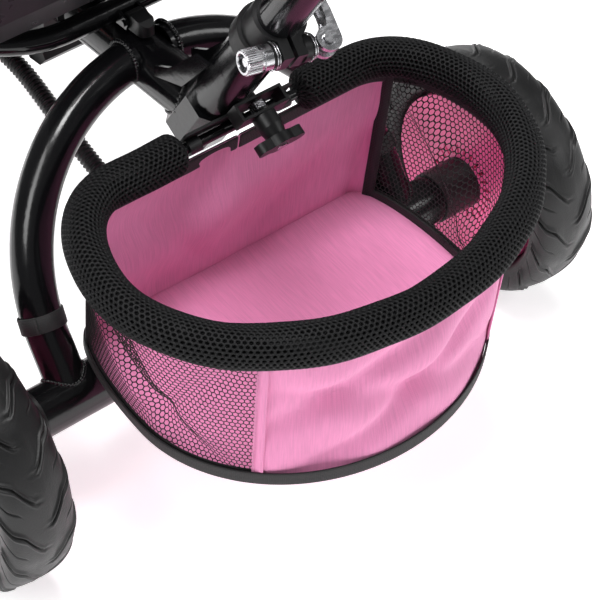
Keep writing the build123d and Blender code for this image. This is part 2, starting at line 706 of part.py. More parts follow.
# ---------------------------------------------------------------- push handle
with BuildPart() as lower_handle_tube:
    wall = ring(SOCKET.offset(SOCKET_BOTTOM + 4), HANDLE_RADIUS, 14)
    extrude(wall, amount=LOWER_TUBE_TOP - SOCKET_BOTTOM - 4)
pieces["lower_handle_tube"] = lower_handle_tube

BUTTON_LEVEL = LOWER_TUBE_TOP - 8
with BuildPart() as handle_collar:
    extrude(ring(SOCKET.offset(LOWER_TUBE_TOP - 34), 21, HANDLE_RADIUS), amount=34)
    extrude(ring(SOCKET.offset(LOWER_TUBE_TOP), 21, UPPER_RADIUS + RUNNING_GAP), amount=14)
    boss = block(SOCKET.offset(LOWER_TUBE_TOP - 20), -11, 11, 16.5, 30)
    extrude(boss, amount=24)
    button_foot = SOCKET.from_local_coords(Vector(0, 20, BUTTON_LEVEL))
    button_bore = Plane(origin=button_foot, x_dir=(1, 0, 0), z_dir=SOCKET.y_dir)
    extrude(ring(button_bore, 7 + RUNNING_GAP), amount=20, mode=Mode.SUBTRACT)
pieces["handle_collar"] = handle_collar

with BuildPart() as height_button:
    extrude(ring(button_bore.offset(4), 7), amount=10)
    fillet(height_button.edges().sort_by(lambda edge: SOCKET.to_local_coords(edge.center()).Y)[-1], 2)
pieces["height_button"] = height_button

with BuildPart() as upper_handle_tube:
    extrude(ring(SOCKET.offset(UPPER_TUBE_FOOT), UPPER_RADIUS, 12.2), amount=LOOP_LOW - 20 - UPPER_TUBE_FOOT)
pieces["upper_handle_tube"] = upper_handle_tube

with BuildPart() as handle_hub:
    extrude(ring(SOCKET.offset(LOOP_LOW - 48), 17, UPPER_RADIUS), amount=28)
    extrude(ring(SOCKET.offset(LOOP_LOW - 20), 17), amount=20)
    bar_foot = SOCKET.from_local_coords(Vector(-30, 0, LOOP_LOW))
    hub_bar = Plane(origin=bar_foot, x_dir=SOCKET.y_dir, z_dir=(1, 0, 0))
    extrude(ring(hub_bar, 15), amount=60)
    extrude(ring(hub_bar, LOOP_RADIUS), amount=60, mode=Mode.SUBTRACT)
pieces["handle_hub"] = handle_hub

LOOP_CORNER = 42.0
LOOP_PLANE = Plane(origin=SOCKET_FOOT, x_dir=(1, 0, 0), z_dir=-SOCKET.y_dir)


def loop_solid(radius, inner):
    """The handle loop as a bent tube, or the foam on it."""
    with BuildPart() as solid:
        with BuildLine(LOOP_PLANE) as path:
            FilletPolyline(
                (LOOP_HALF_WIDTH, LOOP_LOW), (LOOP_HALF_WIDTH, LOOP_HIGH), (-LOOP_HALF_WIDTH, LOOP_HIGH),
                (-LOOP_HALF_WIDTH, LOOP_LOW), radius=LOOP_CORNER, close=True,
            )
        with BuildSketch(Plane(origin=path.line @ 0, x_dir=SOCKET.y_dir, z_dir=path.line % 0)):
            Circle(radius)
            if inner:
                Circle(inner, mode=Mode.SUBTRACT)
        sweep(path=path.line)
    return solid


with BuildPart() as handle_loop:
    add(loop_solid(LOOP_RADIUS, 0).part)
pieces["handle_loop"] = handle_loop

with BuildPart() as handle_foam:
    add(loop_solid(FOAM_RADIUS, LOOP_RADIUS).part)
    extrude(block(SOCKET.offset(LOOP_LOW - 60), -60, 60, -40, 40), amount=120, mode=Mode.SUBTRACT)
pieces["handle_foam"] = handle_foam

# ---------------------------------------------------------------- quick release at the socket mouth
CLAMP_TURN = 11.0
CLAMP_LOW = 110.0
CLAMP_HIGH = 148.0
SKEWER_OUT = 22.0
COLLAR_OUTER = 19.0
SKEWER_LEVEL = 139.0
CLAMP = Plane(
    origin=SOCKET_FOOT,
    x_dir=SOCKET.x_dir * cos(radians(CLAMP_TURN)) - SOCKET.y_dir * sin(radians(CLAMP_TURN)),
    z_dir=SOCKET_DIR,
)


def skewer_plane(along):
    """A plane across the skewer, along being the distance towards +X from the clamp's slit."""
    foot = CLAMP.from_local_coords(Vector(along, SKEWER_OUT, SKEWER_LEVEL))
    return Plane(origin=foot, x_dir=SOCKET_DIR, z_dir=CLAMP.x_dir)


with BuildPart() as clamp_collar:
    extrude(ring(CLAMP.offset(CLAMP_LOW), 22, SOCKET_RADIUS), amount=SOCKET_TOP + 3 - CLAMP_LOW)
    extrude(ring(CLAMP.offset(SOCKET_TOP), COLLAR_OUTER, HANDLE_RADIUS), amount=CLAMP_HIGH - SOCKET_TOP)
    extrude(block(CLAMP.offset(CLAMP_HIGH - 18), -9, 9, 16.6, 30), amount=18)
    slit = block(CLAMP.offset(CLAMP_LOW), -1.5, 1.5, 10, 40)
    extrude(slit, amount=CLAMP_HIGH - CLAMP_LOW, mode=Mode.SUBTRACT)
    extrude(ring(CLAMP.offset(SOCKET_TOP), HANDLE_RADIUS), amount=40, mode=Mode.SUBTRACT)
    extrude(ring(skewer_plane(-12), 3), amount=24, mode=Mode.SUBTRACT)
pieces["clamp_collar"] = clamp_collar

CAM_ALONG = -29.0
CAM_RADIUS = 9.0
CAM_LOW = 132.0
CAM_HIGH = 146.0
CAM_CENTRE = Vector(CAM_ALONG, SKEWER_OUT, 0)
PIVOT_FOOT = CLAMP.from_local_coords(CAM_CENTRE)


def cam_plane(height):
    """A plane across the tube's axis, on the lever's pivot."""
    return Plane(origin=PIVOT_FOOT + SOCKET_DIR * height, x_dir=CLAMP.x_dir, z_dir=SOCKET_DIR)


EYE_LOW = 135.7
EYE_HIGH = 142.3
PIVOT_RADIUS = 2.6
with BuildPart() as qr_skewer:
    extrude(ring(skewer_plane(CAM_ALONG), 3), amount=32 - CAM_ALONG)
    extrude(ring(cam_plane(EYE_LOW), 5.5), amount=EYE_HIGH - EYE_LOW)
    extrude(ring(cam_plane(CAM_LOW - 3), PIVOT_RADIUS), amount=CAM_HIGH - CAM_LOW + 5.5)
    extrude(ring(cam_plane(CAM_HIGH + 0.5), 4.5), amount=2)
pieces["qr_skewer"] = qr_skewer

with BuildPart() as qr_barrel_nut:
    extrude(ring(skewer_plane(14), 8.8, 3), amount=7)
    extrude(ring(skewer_plane(21), 8.3, 3), amount=2)
    extrude(ring(skewer_plane(23), 8.8, 3), amount=11)

with BuildPart() as qr_cups:
    extrude(ring(skewer_plane(9), 8.5, 3), amount=5)
    extrude(ring(skewer_plane(-14), 9.5, 3), amount=5)
    extrude(ring(skewer_plane(-19.4), 7, 3), amount=5.4)
    extrude(ring(CLAMP.offset(CLAMP_LOW), COLLAR_OUTER), amount=60, mode=Mode.SUBTRACT)
pieces["qr_barrel_nut"] = qr_barrel_nut
pieces["qr_cups"] = qr_cups

# The lever is a fork round the skewer's eye. Its arm runs forward beside the tube, bent a little round it.
with BuildPart() as qr_lever:
    for low in (CAM_LOW, EYE_HIGH + 0.4):
        top = EYE_LOW - 0.4 if low == CAM_LOW else CAM_HIGH
        extrude(ring(cam_plane(low), CAM_RADIUS), amount=top - low)
        with BuildSketch(cam_plane(low)):
            with BuildLine():
                Polyline((-9, 0), (-9, -14), (-3, -14), (-1, -8), close=True)
            make_face()
        extrude(amount=top - low)
    with BuildSketch(cam_plane(CAM_LOW)):
        with BuildLine():
            Polyline(
                (-9, -9.8), (-9, -20), (-6, -44), (2, -58),
                (6, -55), (-1, -42), (-3.4, -20), (-3, -9.8), close=True,
            )
        make_face()
    extrude(amount=CAM_HIGH - CAM_LOW)
    slot_foot = PIVOT_FOOT + CLAMP.x_dir * -15 - CLAMP.y_dir * 26 + SOCKET_DIR * 139
    with BuildSketch(Plane(origin=slot_foot, x_dir=CLAMP.y_dir, z_dir=CLAMP.x_dir)):
        SlotOverall(20, 6)
    extrude(amount=20, mode=Mode.SUBTRACT)
    extrude(ring(cam_plane(CAM_LOW - 4), PIVOT_RADIUS + RUNNING_GAP), amount=24, mode=Mode.SUBTRACT)
pieces["qr_lever"] = qr_lever

# ---------------------------------------------------------------- basket
KNOB_X = -10.0
KNOB_LEVEL = 42.0


def knob_plane(out):
    """A plane across the basket's clamp bolt, out being the distance from the socket's axis."""
    foot = SOCKET.from_local_coords(Vector(KNOB_X, out, KNOB_LEVEL))
    return Plane(origin=foot, x_dir=(1, 0, 0), z_dir=SOCKET.y_dir)


def rim_line(gap):
    """The hoop's centre line on the rim plane: straight in front, elliptical round the back.

    With a gap, the line starts and ends on the front stretch, leaving its middle bare.
    """
    with BuildLine(RIM) as line:
        if gap:
            Line((GAP_LEFT, -1), (105, -1))
        else:
            Line((-105, -1), (105, -1))
        EllipticalCenterArc((105, 80), 59, 81, start_angle=-90, arc_size=90)
        EllipticalCenterArc((0, 80), 164, 121, start_angle=0, arc_size=180)
        EllipticalCenterArc((-105, 80), 59, 81, start_angle=180, arc_size=90)
        if gap:
            Line((-105, -1), (GAP_RIGHT, -1))
    return line.line


def hoop_solid(radius, inner, gap):
    """The hoop's rod, or the sleeve on it."""
    path = rim_line(gap)
    with BuildPart() as solid:
        with BuildSketch(Plane(origin=path @ 0, x_dir=TILTED_UP, z_dir=path % 0)):
            Circle(radius)
            if inner:
                Circle(inner, mode=Mode.SUBTRACT)
        sweep(path=path)
    return solid


with BuildPart() as basket_hoop:
    add(hoop_solid(HOOP_RADIUS, 0, False).part)
pieces["basket_hoop"] = basket_hoop

with BuildPart() as basket_rim_pad:
    add(hoop_solid(RIM_PAD_RADIUS, HOOP_RADIUS, True).part)
pieces["basket_rim_pad"] = basket_rim_pad


def basket_section(plane, half_width, front_half, front, middle, rear, inset):
    """The basket's outline on a plane, drawn inwards by inset. Distances run back from the axle."""
    wide, flat = half_width - inset, front_half - inset
    depth = middle - front - inset
    with BuildSketch(plane) as section:
        with BuildLine():
            Line((-flat, front + inset), (flat, front + inset))
            EllipticalCenterArc((flat, middle), wide - flat, depth, start_angle=-90, arc_size=90)
            EllipticalCenterArc((0, middle), wide, rear - middle - inset, start_angle=0, arc_size=180)
            EllipticalCenterArc((-flat, middle), wide - flat, depth, start_angle=180, arc_size=90)
        make_face()
    return section.sketch


BASKET_TOP = RIM.offset(-RIM_PAD_RADIUS - 0.5)
FLOOR_SIZE = (143, 120, -22, 71, 190)
MOUTH_SIZE = (163, 107, 1, 80, 200)
WALL = 2.0
with BuildPart() as basket_body:
    loft([basket_section(BASKET_FLOOR, *FLOOR_SIZE, 0), basket_section(BASKET_TOP, *MOUTH_SIZE, 0)])
    inner_floor = basket_section(BASKET_FLOOR.offset(WALL), *FLOOR_SIZE, WALL)
    inner_mouth = basket_section(BASKET_TOP.offset(0.01), *MOUTH_SIZE, WALL)
    loft([inner_floor, inner_mouth], mode=Mode.SUBTRACT)
pieces["basket_body"] = basket_body

HOOP_FRONT = RIM.from_local_coords(Vector(0, -1, 0))
PLATE_OUT = 20.5
with BuildPart() as basket_bracket:
    extrude(block(SOCKET.offset(23), -46, 46, SOCKET_RADIUS, PLATE_OUT), amount=13)
    extrude(block(SOCKET.offset(30), -30, 10, SOCKET_RADIUS, PLATE_OUT), amount=20)
    extrude(block(SOCKET.offset(34), -30, 10, PLATE_OUT, 32), amount=16)
    extrude(block(SOCKET.offset(30), -28, 8, PLATE_OUT, 30), amount=24, mode=Mode.SUBTRACT)
    for low in (-44, 34):
        hook = Plane(origin=HOOP_FRONT + Vector(low, 0, 0), x_dir=(0, 1, 0), z_dir=(1, 0, 0))
        extrude(ring(hook, 6), amount=10)
    add(basket_hoop.part, mode=Mode.SUBTRACT)
    extrude(ring(knob_plane(SOCKET_RADIUS - 4), 3), amount=57.5 - SOCKET_RADIUS + 4)
    with BuildSketch(knob_plane(22)):
        RegularPolygon(6.2, 6)
    extrude(amount=6)
    add(socket_envelope.part, mode=Mode.SUBTRACT)
pieces["basket_bracket"] = basket_bracket

with BuildPart() as basket_knob:
    extrude(ring(knob_plane(32.4), 9), amount=9.6)
    loft([ring(knob_plane(42), 9), ring(knob_plane(49.5), 7.5)])
    with BuildSketch(knob_plane(49.5)) as wings:
        SlotOverall(39, 12)
        Circle(10)
        fillet(wings.vertices(), 2)
    extrude(amount=7.5)
    extrude(ring(knob_plane(30), 3 + RUNNING_GAP), amount=40, mode=Mode.SUBTRACT)
pieces["basket_knob"] = basket_knob

STRAP_TURN = 4.9
STRAP_WIDTH = 12.0
with BuildPart() as basket_straps:
    for side in (1, -1):
        reach, rise = ARCH_RADIUS * cos(radians(STRAP_TURN)), ARCH_RADIUS * sin(radians(STRAP_TURN))
        tangent = ARCH.y_dir * cos(radians(STRAP_TURN)) - ARCH.x_dir * side * sin(radians(STRAP_TURN))
        foot = ARCH.from_local_coords(Vector(side * reach, ARCH_LEG + rise, 0)) - tangent * STRAP_WIDTH / 2
        around = Plane(origin=foot, x_dir=(0, 1, 0), z_dir=tangent)
        extrude(ring(around, ARCH_TUBE_RADIUS + 1.8, ARCH_TUBE_RADIUS + 0.3), amount=STRAP_WIDTH)
pieces["basket_straps"] = basket_straps

# ---------------------------------------------------------------- brake cable hose and its fittings
HOSE_RADIUS = 7.5
HOSE_POINTS = ((22, 86, 111), (30, -24, 159), (31, -101, 193), (38, -150, 214), (34, -208, 240))
HOSE_BENDS = (260, 200, 200)
with BuildPart() as brake_hose:
    with BuildLine() as route:
        FilletPolyline(*HOSE_POINTS, radius=HOSE_BENDS)
    with BuildSketch(Plane(origin=route.line @ 0, x_dir=(1, 0, 0), z_dir=route.line % 0)):
        Circle(HOSE_RADIUS)
    sweep(path=route.line)
pieces["brake_hose"] = brake_hose

with BuildPart() as hose_fittings:
    first, last = route.line % 0, route.line % 1
    extrude(ring(Plane(origin=route.line @ 0, x_dir=(1, 0, 0), z_dir=-first), 10), amount=24)
    add(axle_envelope.part, mode=Mode.SUBTRACT)
    extrude(ring(Plane(origin=route.line @ 1, x_dir=(1, 0, 0), z_dir=last), 10), amount=16)
    extrude(block(level(244, 0, 0), 12, 44, -232, -214), amount=20)
    add(main_line(MAIN_RADIUS).part, mode=Mode.SUBTRACT)
    add(seat_mount.part, mode=Mode.SUBTRACT)
pieces["hose_fittings"] = hose_fittings

# ---------------------------------------------------------------- seat turn lock behind the seat ring
with BuildPart() as seat_lock_lever:
    tongue = outline(
        across(-LOCK_WIDTH / 2, 0, 0),
        (
            (22, 286), (22, 293), (16, 297), (5, 298.5), (-1, 297),
            (-3, 293), (-3, 288), (0, 284.8), (18, 284.8),
        ),
    )
    extrude(tongue, amount=LOCK_WIDTH)
    with BuildSketch(level(280, 0, LOCK_END - 30)):
        SlotOverall(60, LOCK_WIDTH, rotation=90)
    extrude(amount=30, mode=Mode.INTERSECT)
    extrude(ring(across(-8, LOCK_Y, LOCK_Z), PIN_RADIUS + RUNNING_GAP), amount=16, mode=Mode.SUBTRACT)
pieces["seat_lock_lever"] = seat_lock_lever

# ---------------------------------------------------------------- hand-in
os.makedirs("parts", exist_ok=True)
for name, piece in pieces.items():
    piece.part.label = name
    export_step(piece.part, f"parts/{name}.step")
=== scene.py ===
"""The looks of the push tricycle stroller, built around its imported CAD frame.

Lengths are in metres in the CAD frame: +Z up, the stroller faces -Y, and the rear axle runs along X.
"""
import json
from math import cos, pi, radians, sin, sqrt

import bpy
import numpy as np
from mathutils import Matrix, Vector


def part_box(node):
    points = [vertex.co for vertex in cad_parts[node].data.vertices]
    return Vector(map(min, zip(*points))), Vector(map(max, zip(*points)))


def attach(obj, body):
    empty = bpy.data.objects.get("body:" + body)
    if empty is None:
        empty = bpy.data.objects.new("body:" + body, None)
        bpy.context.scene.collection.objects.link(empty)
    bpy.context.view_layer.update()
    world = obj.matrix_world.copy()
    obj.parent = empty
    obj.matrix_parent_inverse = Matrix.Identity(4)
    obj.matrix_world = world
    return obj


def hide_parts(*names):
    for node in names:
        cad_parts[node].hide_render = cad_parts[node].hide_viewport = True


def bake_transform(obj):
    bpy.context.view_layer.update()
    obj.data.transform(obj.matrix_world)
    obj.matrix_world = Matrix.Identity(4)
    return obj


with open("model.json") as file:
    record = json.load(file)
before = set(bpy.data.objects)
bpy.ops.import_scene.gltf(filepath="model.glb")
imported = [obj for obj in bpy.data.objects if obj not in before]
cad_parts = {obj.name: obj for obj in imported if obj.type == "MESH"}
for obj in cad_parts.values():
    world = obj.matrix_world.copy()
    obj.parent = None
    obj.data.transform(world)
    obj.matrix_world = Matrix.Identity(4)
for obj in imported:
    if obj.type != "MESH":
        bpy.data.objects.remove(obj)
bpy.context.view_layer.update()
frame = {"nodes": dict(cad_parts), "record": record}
NODES = frame["nodes"]

# ---- places, from the frame's own dimensions
AXLE_LOW, AXLE_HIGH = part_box("axle_tube")
AXLE_Y = (AXLE_LOW.y + AXLE_HIGH.y) / 2
AXLE_Z = (AXLE_LOW.z + AXLE_HIGH.z) / 2
AXLE = np.array((0, AXLE_Y, AXLE_Z))
ARCH_UP = np.array((0, -0.530, 0.848))
ARCH_BACK = np.array((0, 0.848, 0.530))
ARCH_RADIUS = 0.153
RIM_TILT = radians(7.18)
RIM_ORIGIN = Vector((0, AXLE_Y, 0.268))
FLOOR_ORIGIN = Vector((0, AXLE_Y, 0.124))
SOCKET_LEAN = radians(33.3)
SOCKET_FOOT = Vector((0, AXLE_Y - 0.034, 0.263))
TUBE_UP = Vector((0, sin(SOCKET_LEAN), cos(SOCKET_LEAN)))
TUBE_BACK = Vector((0, cos(SOCKET_LEAN), -sin(SOCKET_LEAN)))
LEFT = Vector((1, 0, 0))


def on_socket(across, back, along):
    """A point by its distances to the left of, behind and up the handle socket."""
    return SOCKET_FOOT + LEFT * across + TUBE_BACK * back + TUBE_UP * along


# ---- camera, lights and floor
CAMERA_PLACE = Vector((0.7941, 1.1591, 1.3174))
CAMERA_AZIMUTH = 140.73
CAMERA_ELEVATION = 42.92
CAMERA_LENS = 145.3
SOFTBOXES = {
    "key_softbox": ((2.6, 0.6, 3.2), (1.3, 2.4), 66),
    "fill_softbox": ((-2.4, 2.2, 1.9), (0.9, 2.2), 30),
    "top_softbox": ((0.2, 0.3, 2.9), (0.8, 1.2), 62),
    "front_softbox": ((-1.0, -2.8, 2.4), (1.4, 1.4), 36),
}
LIT_PLACE = Vector((0, 0.15, 0.25))


def add_camera():
    azimuth, elevation = radians(CAMERA_AZIMUTH), radians(CAMERA_ELEVATION)
    forward = Vector((-sin(azimuth) * cos(elevation), cos(azimuth) * cos(elevation), -sin(elevation)))
    right = Vector((cos(azimuth), sin(azimuth), 0))
    up = right.cross(forward)
    data = bpy.data.cameras.new("camera")
    data.sensor_width = 36
    data.lens = CAMERA_LENS
    camera = bpy.data.objects.new("camera", data)
    bpy.context.scene.collection.objects.link(camera)
    turn = Matrix((right, up, -forward)).transposed().to_4x4()
    camera.matrix_world = Matrix.Translation(CAMERA_PLACE) @ turn
    bpy.context.scene.camera = camera


def add_light(name, place, size, power):
    data = bpy.data.lights.new(name, "AREA")
    data.shape = "RECTANGLE"
    data.size, data.size_y = size
    data.energy = power
    light = bpy.data.objects.new(name, data)
    bpy.context.scene.collection.objects.link(light)
    light.location = place
    light.rotation_euler = (LIT_PLACE - Vector(place)).to_track_quat("-Z", "Y").to_euler()


def add_studio():
    world = bpy.data.worlds.new("studio")
    bpy.context.scene.world = world
    world.use_nodes = True
    sky = world.node_tree.nodes["Background"]
    sky.inputs["Color"].default_value = (0.97, 0.98, 1.0, 1)
    sky.inputs["Strength"].default_value = 0.17
    bpy.context.scene.view_settings.view_transform = "Standard"
    for name, settings in SOFTBOXES.items():
        add_light(name, *settings)
    bpy.ops.mesh.primitive_plane_add(size=80, location=(0, 0, -0.0006))
    ground = bpy.context.object
    ground.name = "studio_floor"
    paint = bpy.data.materials.new("studio_floor")
    paint.use_nodes = True
    shader = paint.node_tree.nodes["Principled BSDF"]
    shader.inputs["Base Color"].default_value = (0.95, 0.95, 0.95, 1)
    shader.inputs["Roughness"].default_value = 0.9
    shader.inputs["Emission Color"].default_value = (1, 1, 1, 1)
    shader.inputs["Emission Strength"].default_value = 0.66
    ground.data.materials.append(paint)


add_camera()
add_studio()


# ---- materials
class Finish:
    """A Principled material whose colour, roughness and relief come from small chains of nodes."""

    def __init__(self, name, colour, roughness, metallic=0.0, **sockets):
        self.material = bpy.data.materials.new(name)
        self.material.use_nodes = True
        self.tree = self.material.node_tree
        self.shader = self.tree.nodes["Principled BSDF"]
        self.colour = colour
        self.shader.inputs["Base Color"].default_value = (*colour, 1)
        self.shader.inputs["Roughness"].default_value = roughness
        self.shader.inputs["Metallic"].default_value = metallic
        for socket, value in sockets.items():
            self.shader.inputs[socket.replace("_", " ")].default_value = value
        self.place = self.node("ShaderNodeTexCoord").outputs["Object"]
        self.relief = None

    def node(self, kind, **settings):
        made = self.tree.nodes.new(kind)
        for key, value in settings.items():
            if key in made.inputs:
                made.inputs[key].default_value = value
            else:
                setattr(made, key, value)
        return made

    def link(self, source, target):
        self.tree.links.new(source, target)

    def noise(self, scale, detail=2.0, stretch=(1, 1, 1), source=None):
        """Noise in object coordinates, or in the source's, scaled by three numbers first."""
        mapping = self.node("ShaderNodeMapping")
        mapping.inputs["Scale"].default_value = stretch
        self.link(source or self.place, mapping.inputs["Vector"])
        made = self.node("ShaderNodeTexNoise", Scale=scale, Detail=detail)
        self.link(mapping.outputs["Vector"], made.inputs["Vector"])
        return made.outputs["Fac"]

    def wave(self, scale, direction, source):
        made = self.node("ShaderNodeTexWave", bands_direction=direction, Scale=scale)
        self.link(source, made.inputs["Vector"])
        return made.outputs["Fac"]

    def cells(self, scale):
        made = self.node("ShaderNodeTexVoronoi", Scale=scale)
        self.link(self.place, made.inputs["Vector"])
        return made.outputs["Distance"]

    def ramp(self, factor, low, high, start=0.3, end=0.7):
        made = self.node("ShaderNodeValToRGB")
        first, last = made.color_ramp.elements
        first.position, last.position = start, end
        first.color = (*low, 1) if hasattr(low, "__len__") else (low, low, low, 1)
        last.color = (*high, 1) if hasattr(high, "__len__") else (high, high, high, 1)
        self.link(factor, made.inputs["Fac"])
        return made.outputs["Color"]

    def maths(self, operation, first, second):
        made = self.node("ShaderNodeMath", operation=operation)
        for socket, value in zip(made.inputs, (first, second)):
            if hasattr(value, "is_output"):
                self.link(value, socket)
            else:
                socket.default_value = value
        return made.outputs[0]

    def vary_colour(self, factor, low, high, start=0.3, end=0.7):
        """The base colour runs from low to high times itself with the factor."""
        shades = [tuple(min(1, c * k) for c in self.colour) for k in (low, high)]
        self.link(self.ramp(factor, *shades, start, end), self.shader.inputs["Base Color"])

    def vary_roughness(self, factor, low, high, start=0.3, end=0.7):
        self.link(self.ramp(factor, low, high, start, end), self.shader.inputs["Roughness"])

    def bump(self, height, distance, strength=1.0):
        made = self.node("ShaderNodeBump", Distance=distance, Strength=strength)
        self.link(height, made.inputs["Height"])
        if self.relief:
            self.link(self.relief, made.inputs["Normal"])
        self.relief = made.outputs["Normal"]
        self.link(self.relief, self.shader.inputs["Normal"])
        return self


def gloss_paint():
    paint = Finish("gloss_black_paint", (0.003, 0.003, 0.0035), 0.2, Specular_IOR_Level=0.45)
    paint.vary_roughness(paint.noise(38, 4), 0.12, 0.21)
    paint.vary_colour(paint.noise(9, 3), 0.8, 1.7)
    return paint.bump(paint.noise(190, 2), 0.0004, 0.22).material


def moulded(name, colour, roughness, grain=900):
    plastic = Finish(name, colour, roughness, Specular_IOR_Level=0.4)
    plastic.vary_colour(plastic.noise(22, 3), 0.85, 1.2)
    plastic.vary_roughness(plastic.noise(60, 3), roughness * 0.85, roughness * 1.25)
    return plastic.bump(plastic.noise(grain, 2), 0.0002, 0.35).material


def bright_metal():
    metal = Finish("bright_steel", (0.62, 0.62, 0.64), 0.2, 1.0)
    metal.vary_roughness(metal.noise(120, 5, (1, 1, 5)), 0.13, 0.36)
    metal.vary_colour(metal.noise(55, 4), 0.72, 1.15)
    return metal.bump(metal.noise(520, 3), 0.0002, 0.25).material


def tyre_rubber():
    rubber = Finish("tyre_rubber", (0.0065, 0.0065, 0.0067), 0.45, Specular_IOR_Level=0.4)
    rubber.vary_colour(rubber.noise(26, 5), 0.8, 1.5)
    rubber.vary_roughness(rubber.noise(45, 4), 0.36, 0.55)
    return rubber.bump(rubber.noise(700, 4), 0.0004, 0.4).material


def foam():
    sponge = Finish("foam_rubber", (0.016, 0.016, 0.017), 0.85)
    sponge.vary_colour(sponge.noise(40, 4), 0.7, 1.6)
    return sponge.bump(sponge.cells(850), 0.0005, 0.7).material


def woven(name, colour, thread=0.0011, roughness=0.62, sheen=0.25):
    """A plain weave: fine threads both ways, slubs along one of them and a soft sheen."""
    cloth = Finish(name, colour, roughness, Sheen_Weight=sheen, Sheen_Roughness=0.5)
    uv = cloth.node("ShaderNodeUVMap", uv_map="weave").outputs["UV"]
    threads = 1 / thread
    warp = cloth.wave(threads / 3.14, "X", uv)
    weft = cloth.wave(threads / 3.14, "Y", uv)
    weave = cloth.maths("MAXIMUM", warp, weft)
    slub = cloth.noise(1.0, 2.0, (threads * 0.9, threads * 0.05, 1), uv)
    shade = cloth.maths("MULTIPLY", slub, cloth.ramp(weave, 0.85, 1.0))
    cloth.vary_colour(shade, 0.93, 1.06, 0.3, 0.62)
    cloth.bump(weave, thread * 0.35, 0.35)
    return cloth.bump(slub, thread * 0.4, 0.3).material


def air_mesh():
    """The yarn of the thick knitted mesh, whose holes are in its geometry."""
    cloth = Finish("air_mesh", (0.0045, 0.0045, 0.005), 0.6, Specular_IOR_Level=0.25)
    cloth.vary_colour(cloth.noise(600, 2), 0.7, 1.5)
    return cloth.bump(cloth.noise(1500, 2), 0.0003, 0.6).material


MATERIALS = {
    "paint": gloss_paint(),
    "steel": bright_metal(),
    "plastic": moulded("black_plastic", (0.005, 0.005, 0.0055), 0.4),
    "pink_plastic": moulded("pink_plastic", (0.80, 0.11, 0.30), 0.32, 600),
    "red": moulded("red_plastic", (0.62, 0.012, 0.018), 0.3, 500),
    "grey": moulded("grey_plastic", (0.020, 0.020, 0.022), 0.3),
    "tyre": tyre_rubber(),
    "foam": foam(),
    "pink": woven("pink_cloth", (0.78, 0.262, 0.482), roughness=0.75, sheen=0.12),
    "webbing": woven("black_webbing", (0.005, 0.005, 0.0055), 0.0016, 0.7, 0.04),
    "air_mesh": air_mesh(),
    "net": moulded("black_net", (0.005, 0.005, 0.005), 0.6),
}
FINISHES = {
    "frame_black": "paint", "bright_steel": "steel", "black_plastic": "plastic",
    "pink_plastic": "pink_plastic", "tyre": "tyre", "red_plastic": "red",
    "grey_plastic": "grey", "hoop_wire": "paint", "pad_mesh": "air_mesh",
    "pink_fabric": "pink", "black_webbing": "webbing", "foam_rubber": "foam", "canopy_wire": "paint",
}
for part in frame["record"]["subparts"]:
    finish = MATERIALS[FINISHES[part["material_slot"]]]
    for material_slot in NODES[part["node"]].material_slots:
        material_slot.material = finish


# ---- mesh helpers
def make_piece(name, points, faces, material, body, replaced=(), uvs=None, smooth=True):
    """A mesh piece from its points and faces, riding on a body."""
    mesh = bpy.data.meshes.new(name)
    mesh.from_pydata([tuple(p) for p in points], [], faces)
    mesh.materials.append(MATERIALS[material])
    if uvs is not None:
        layer = mesh.uv_layers.new(name="weave")
        corners = np.empty(len(mesh.loops), int)
        mesh.loops.foreach_get("vertex_index", corners)
        layer.data.foreach_set("uv", np.asarray(uvs, float)[corners].ravel())
    mesh.polygons.foreach_set("use_smooth", [smooth] * len(mesh.polygons))
    mesh.validate()
    piece = bpy.data.objects.new(name, mesh)
    bpy.context.scene.collection.objects.link(piece)
    if body:
        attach(piece, body)
    if replaced:
        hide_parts(*replaced)
    return piece


def grid_faces(rows, columns, wrap_rows=False, wrap_columns=False):
    """Quads over a grid of points stored row by row."""
    faces = []
    for row in range(rows if wrap_rows else rows - 1):
        for column in range(columns if wrap_columns else columns - 1):
            above, beside = (row + 1) % rows, (column + 1) % columns
            faces.append((
                row * columns + column, row * columns + beside,
                above * columns + beside, above * columns + column,
            ))
    return faces


def skin_faces(rings, sides):
    """The faces of a closed skin: quads between rings of points, and a cap on each end."""
    last = (rings - 1) * sides
    caps = [tuple(range(sides))[::-1], tuple(range(last, last + sides))]
    return grid_faces(rings, sides, wrap_columns=True) + caps


def along(points):
    """The distance along a line of points, starting at 0."""
    steps = np.linalg.norm(np.diff(points, axis=0), axis=1)
    return np.concatenate(([0], np.cumsum(steps)))


def at_marks(points, run, marks):
    """The places on a line at some distances along it. run is the distance at each of its points."""
    return np.column_stack([np.interp(marks, run, points[:, k]) for k in range(3)])


def even(points, count, closed=False):
    """The same line with count evenly spaced points."""
    points = np.asarray(points, float)
    if closed:
        points = np.vstack((points, points[:1]))
    run = along(points)
    return at_marks(points, run, np.linspace(0, run[-1], count, endpoint=not closed))


def sweep_frames(points, closed):
    """A pair of unit directions across a line at each of its points, carried along without twist."""
    ahead = np.roll(points, -1, 0) - np.roll(points, 1, 0)
    if not closed:
        ahead[0], ahead[-1] = points[1] - points[0], points[-1] - points[-2]
    ahead /= np.linalg.norm(ahead, axis=1)[:, None]
    start = np.cross(ahead[0], (0.0, 0.1, 1.0))
    sides = [start / np.linalg.norm(start)]
    for direction in ahead[1:]:
        side = sides[-1] - direction * sides[-1].dot(direction)
        sides.append(side / np.linalg.norm(side))
    sides = np.array(sides)
    return sides, np.cross(ahead, sides)


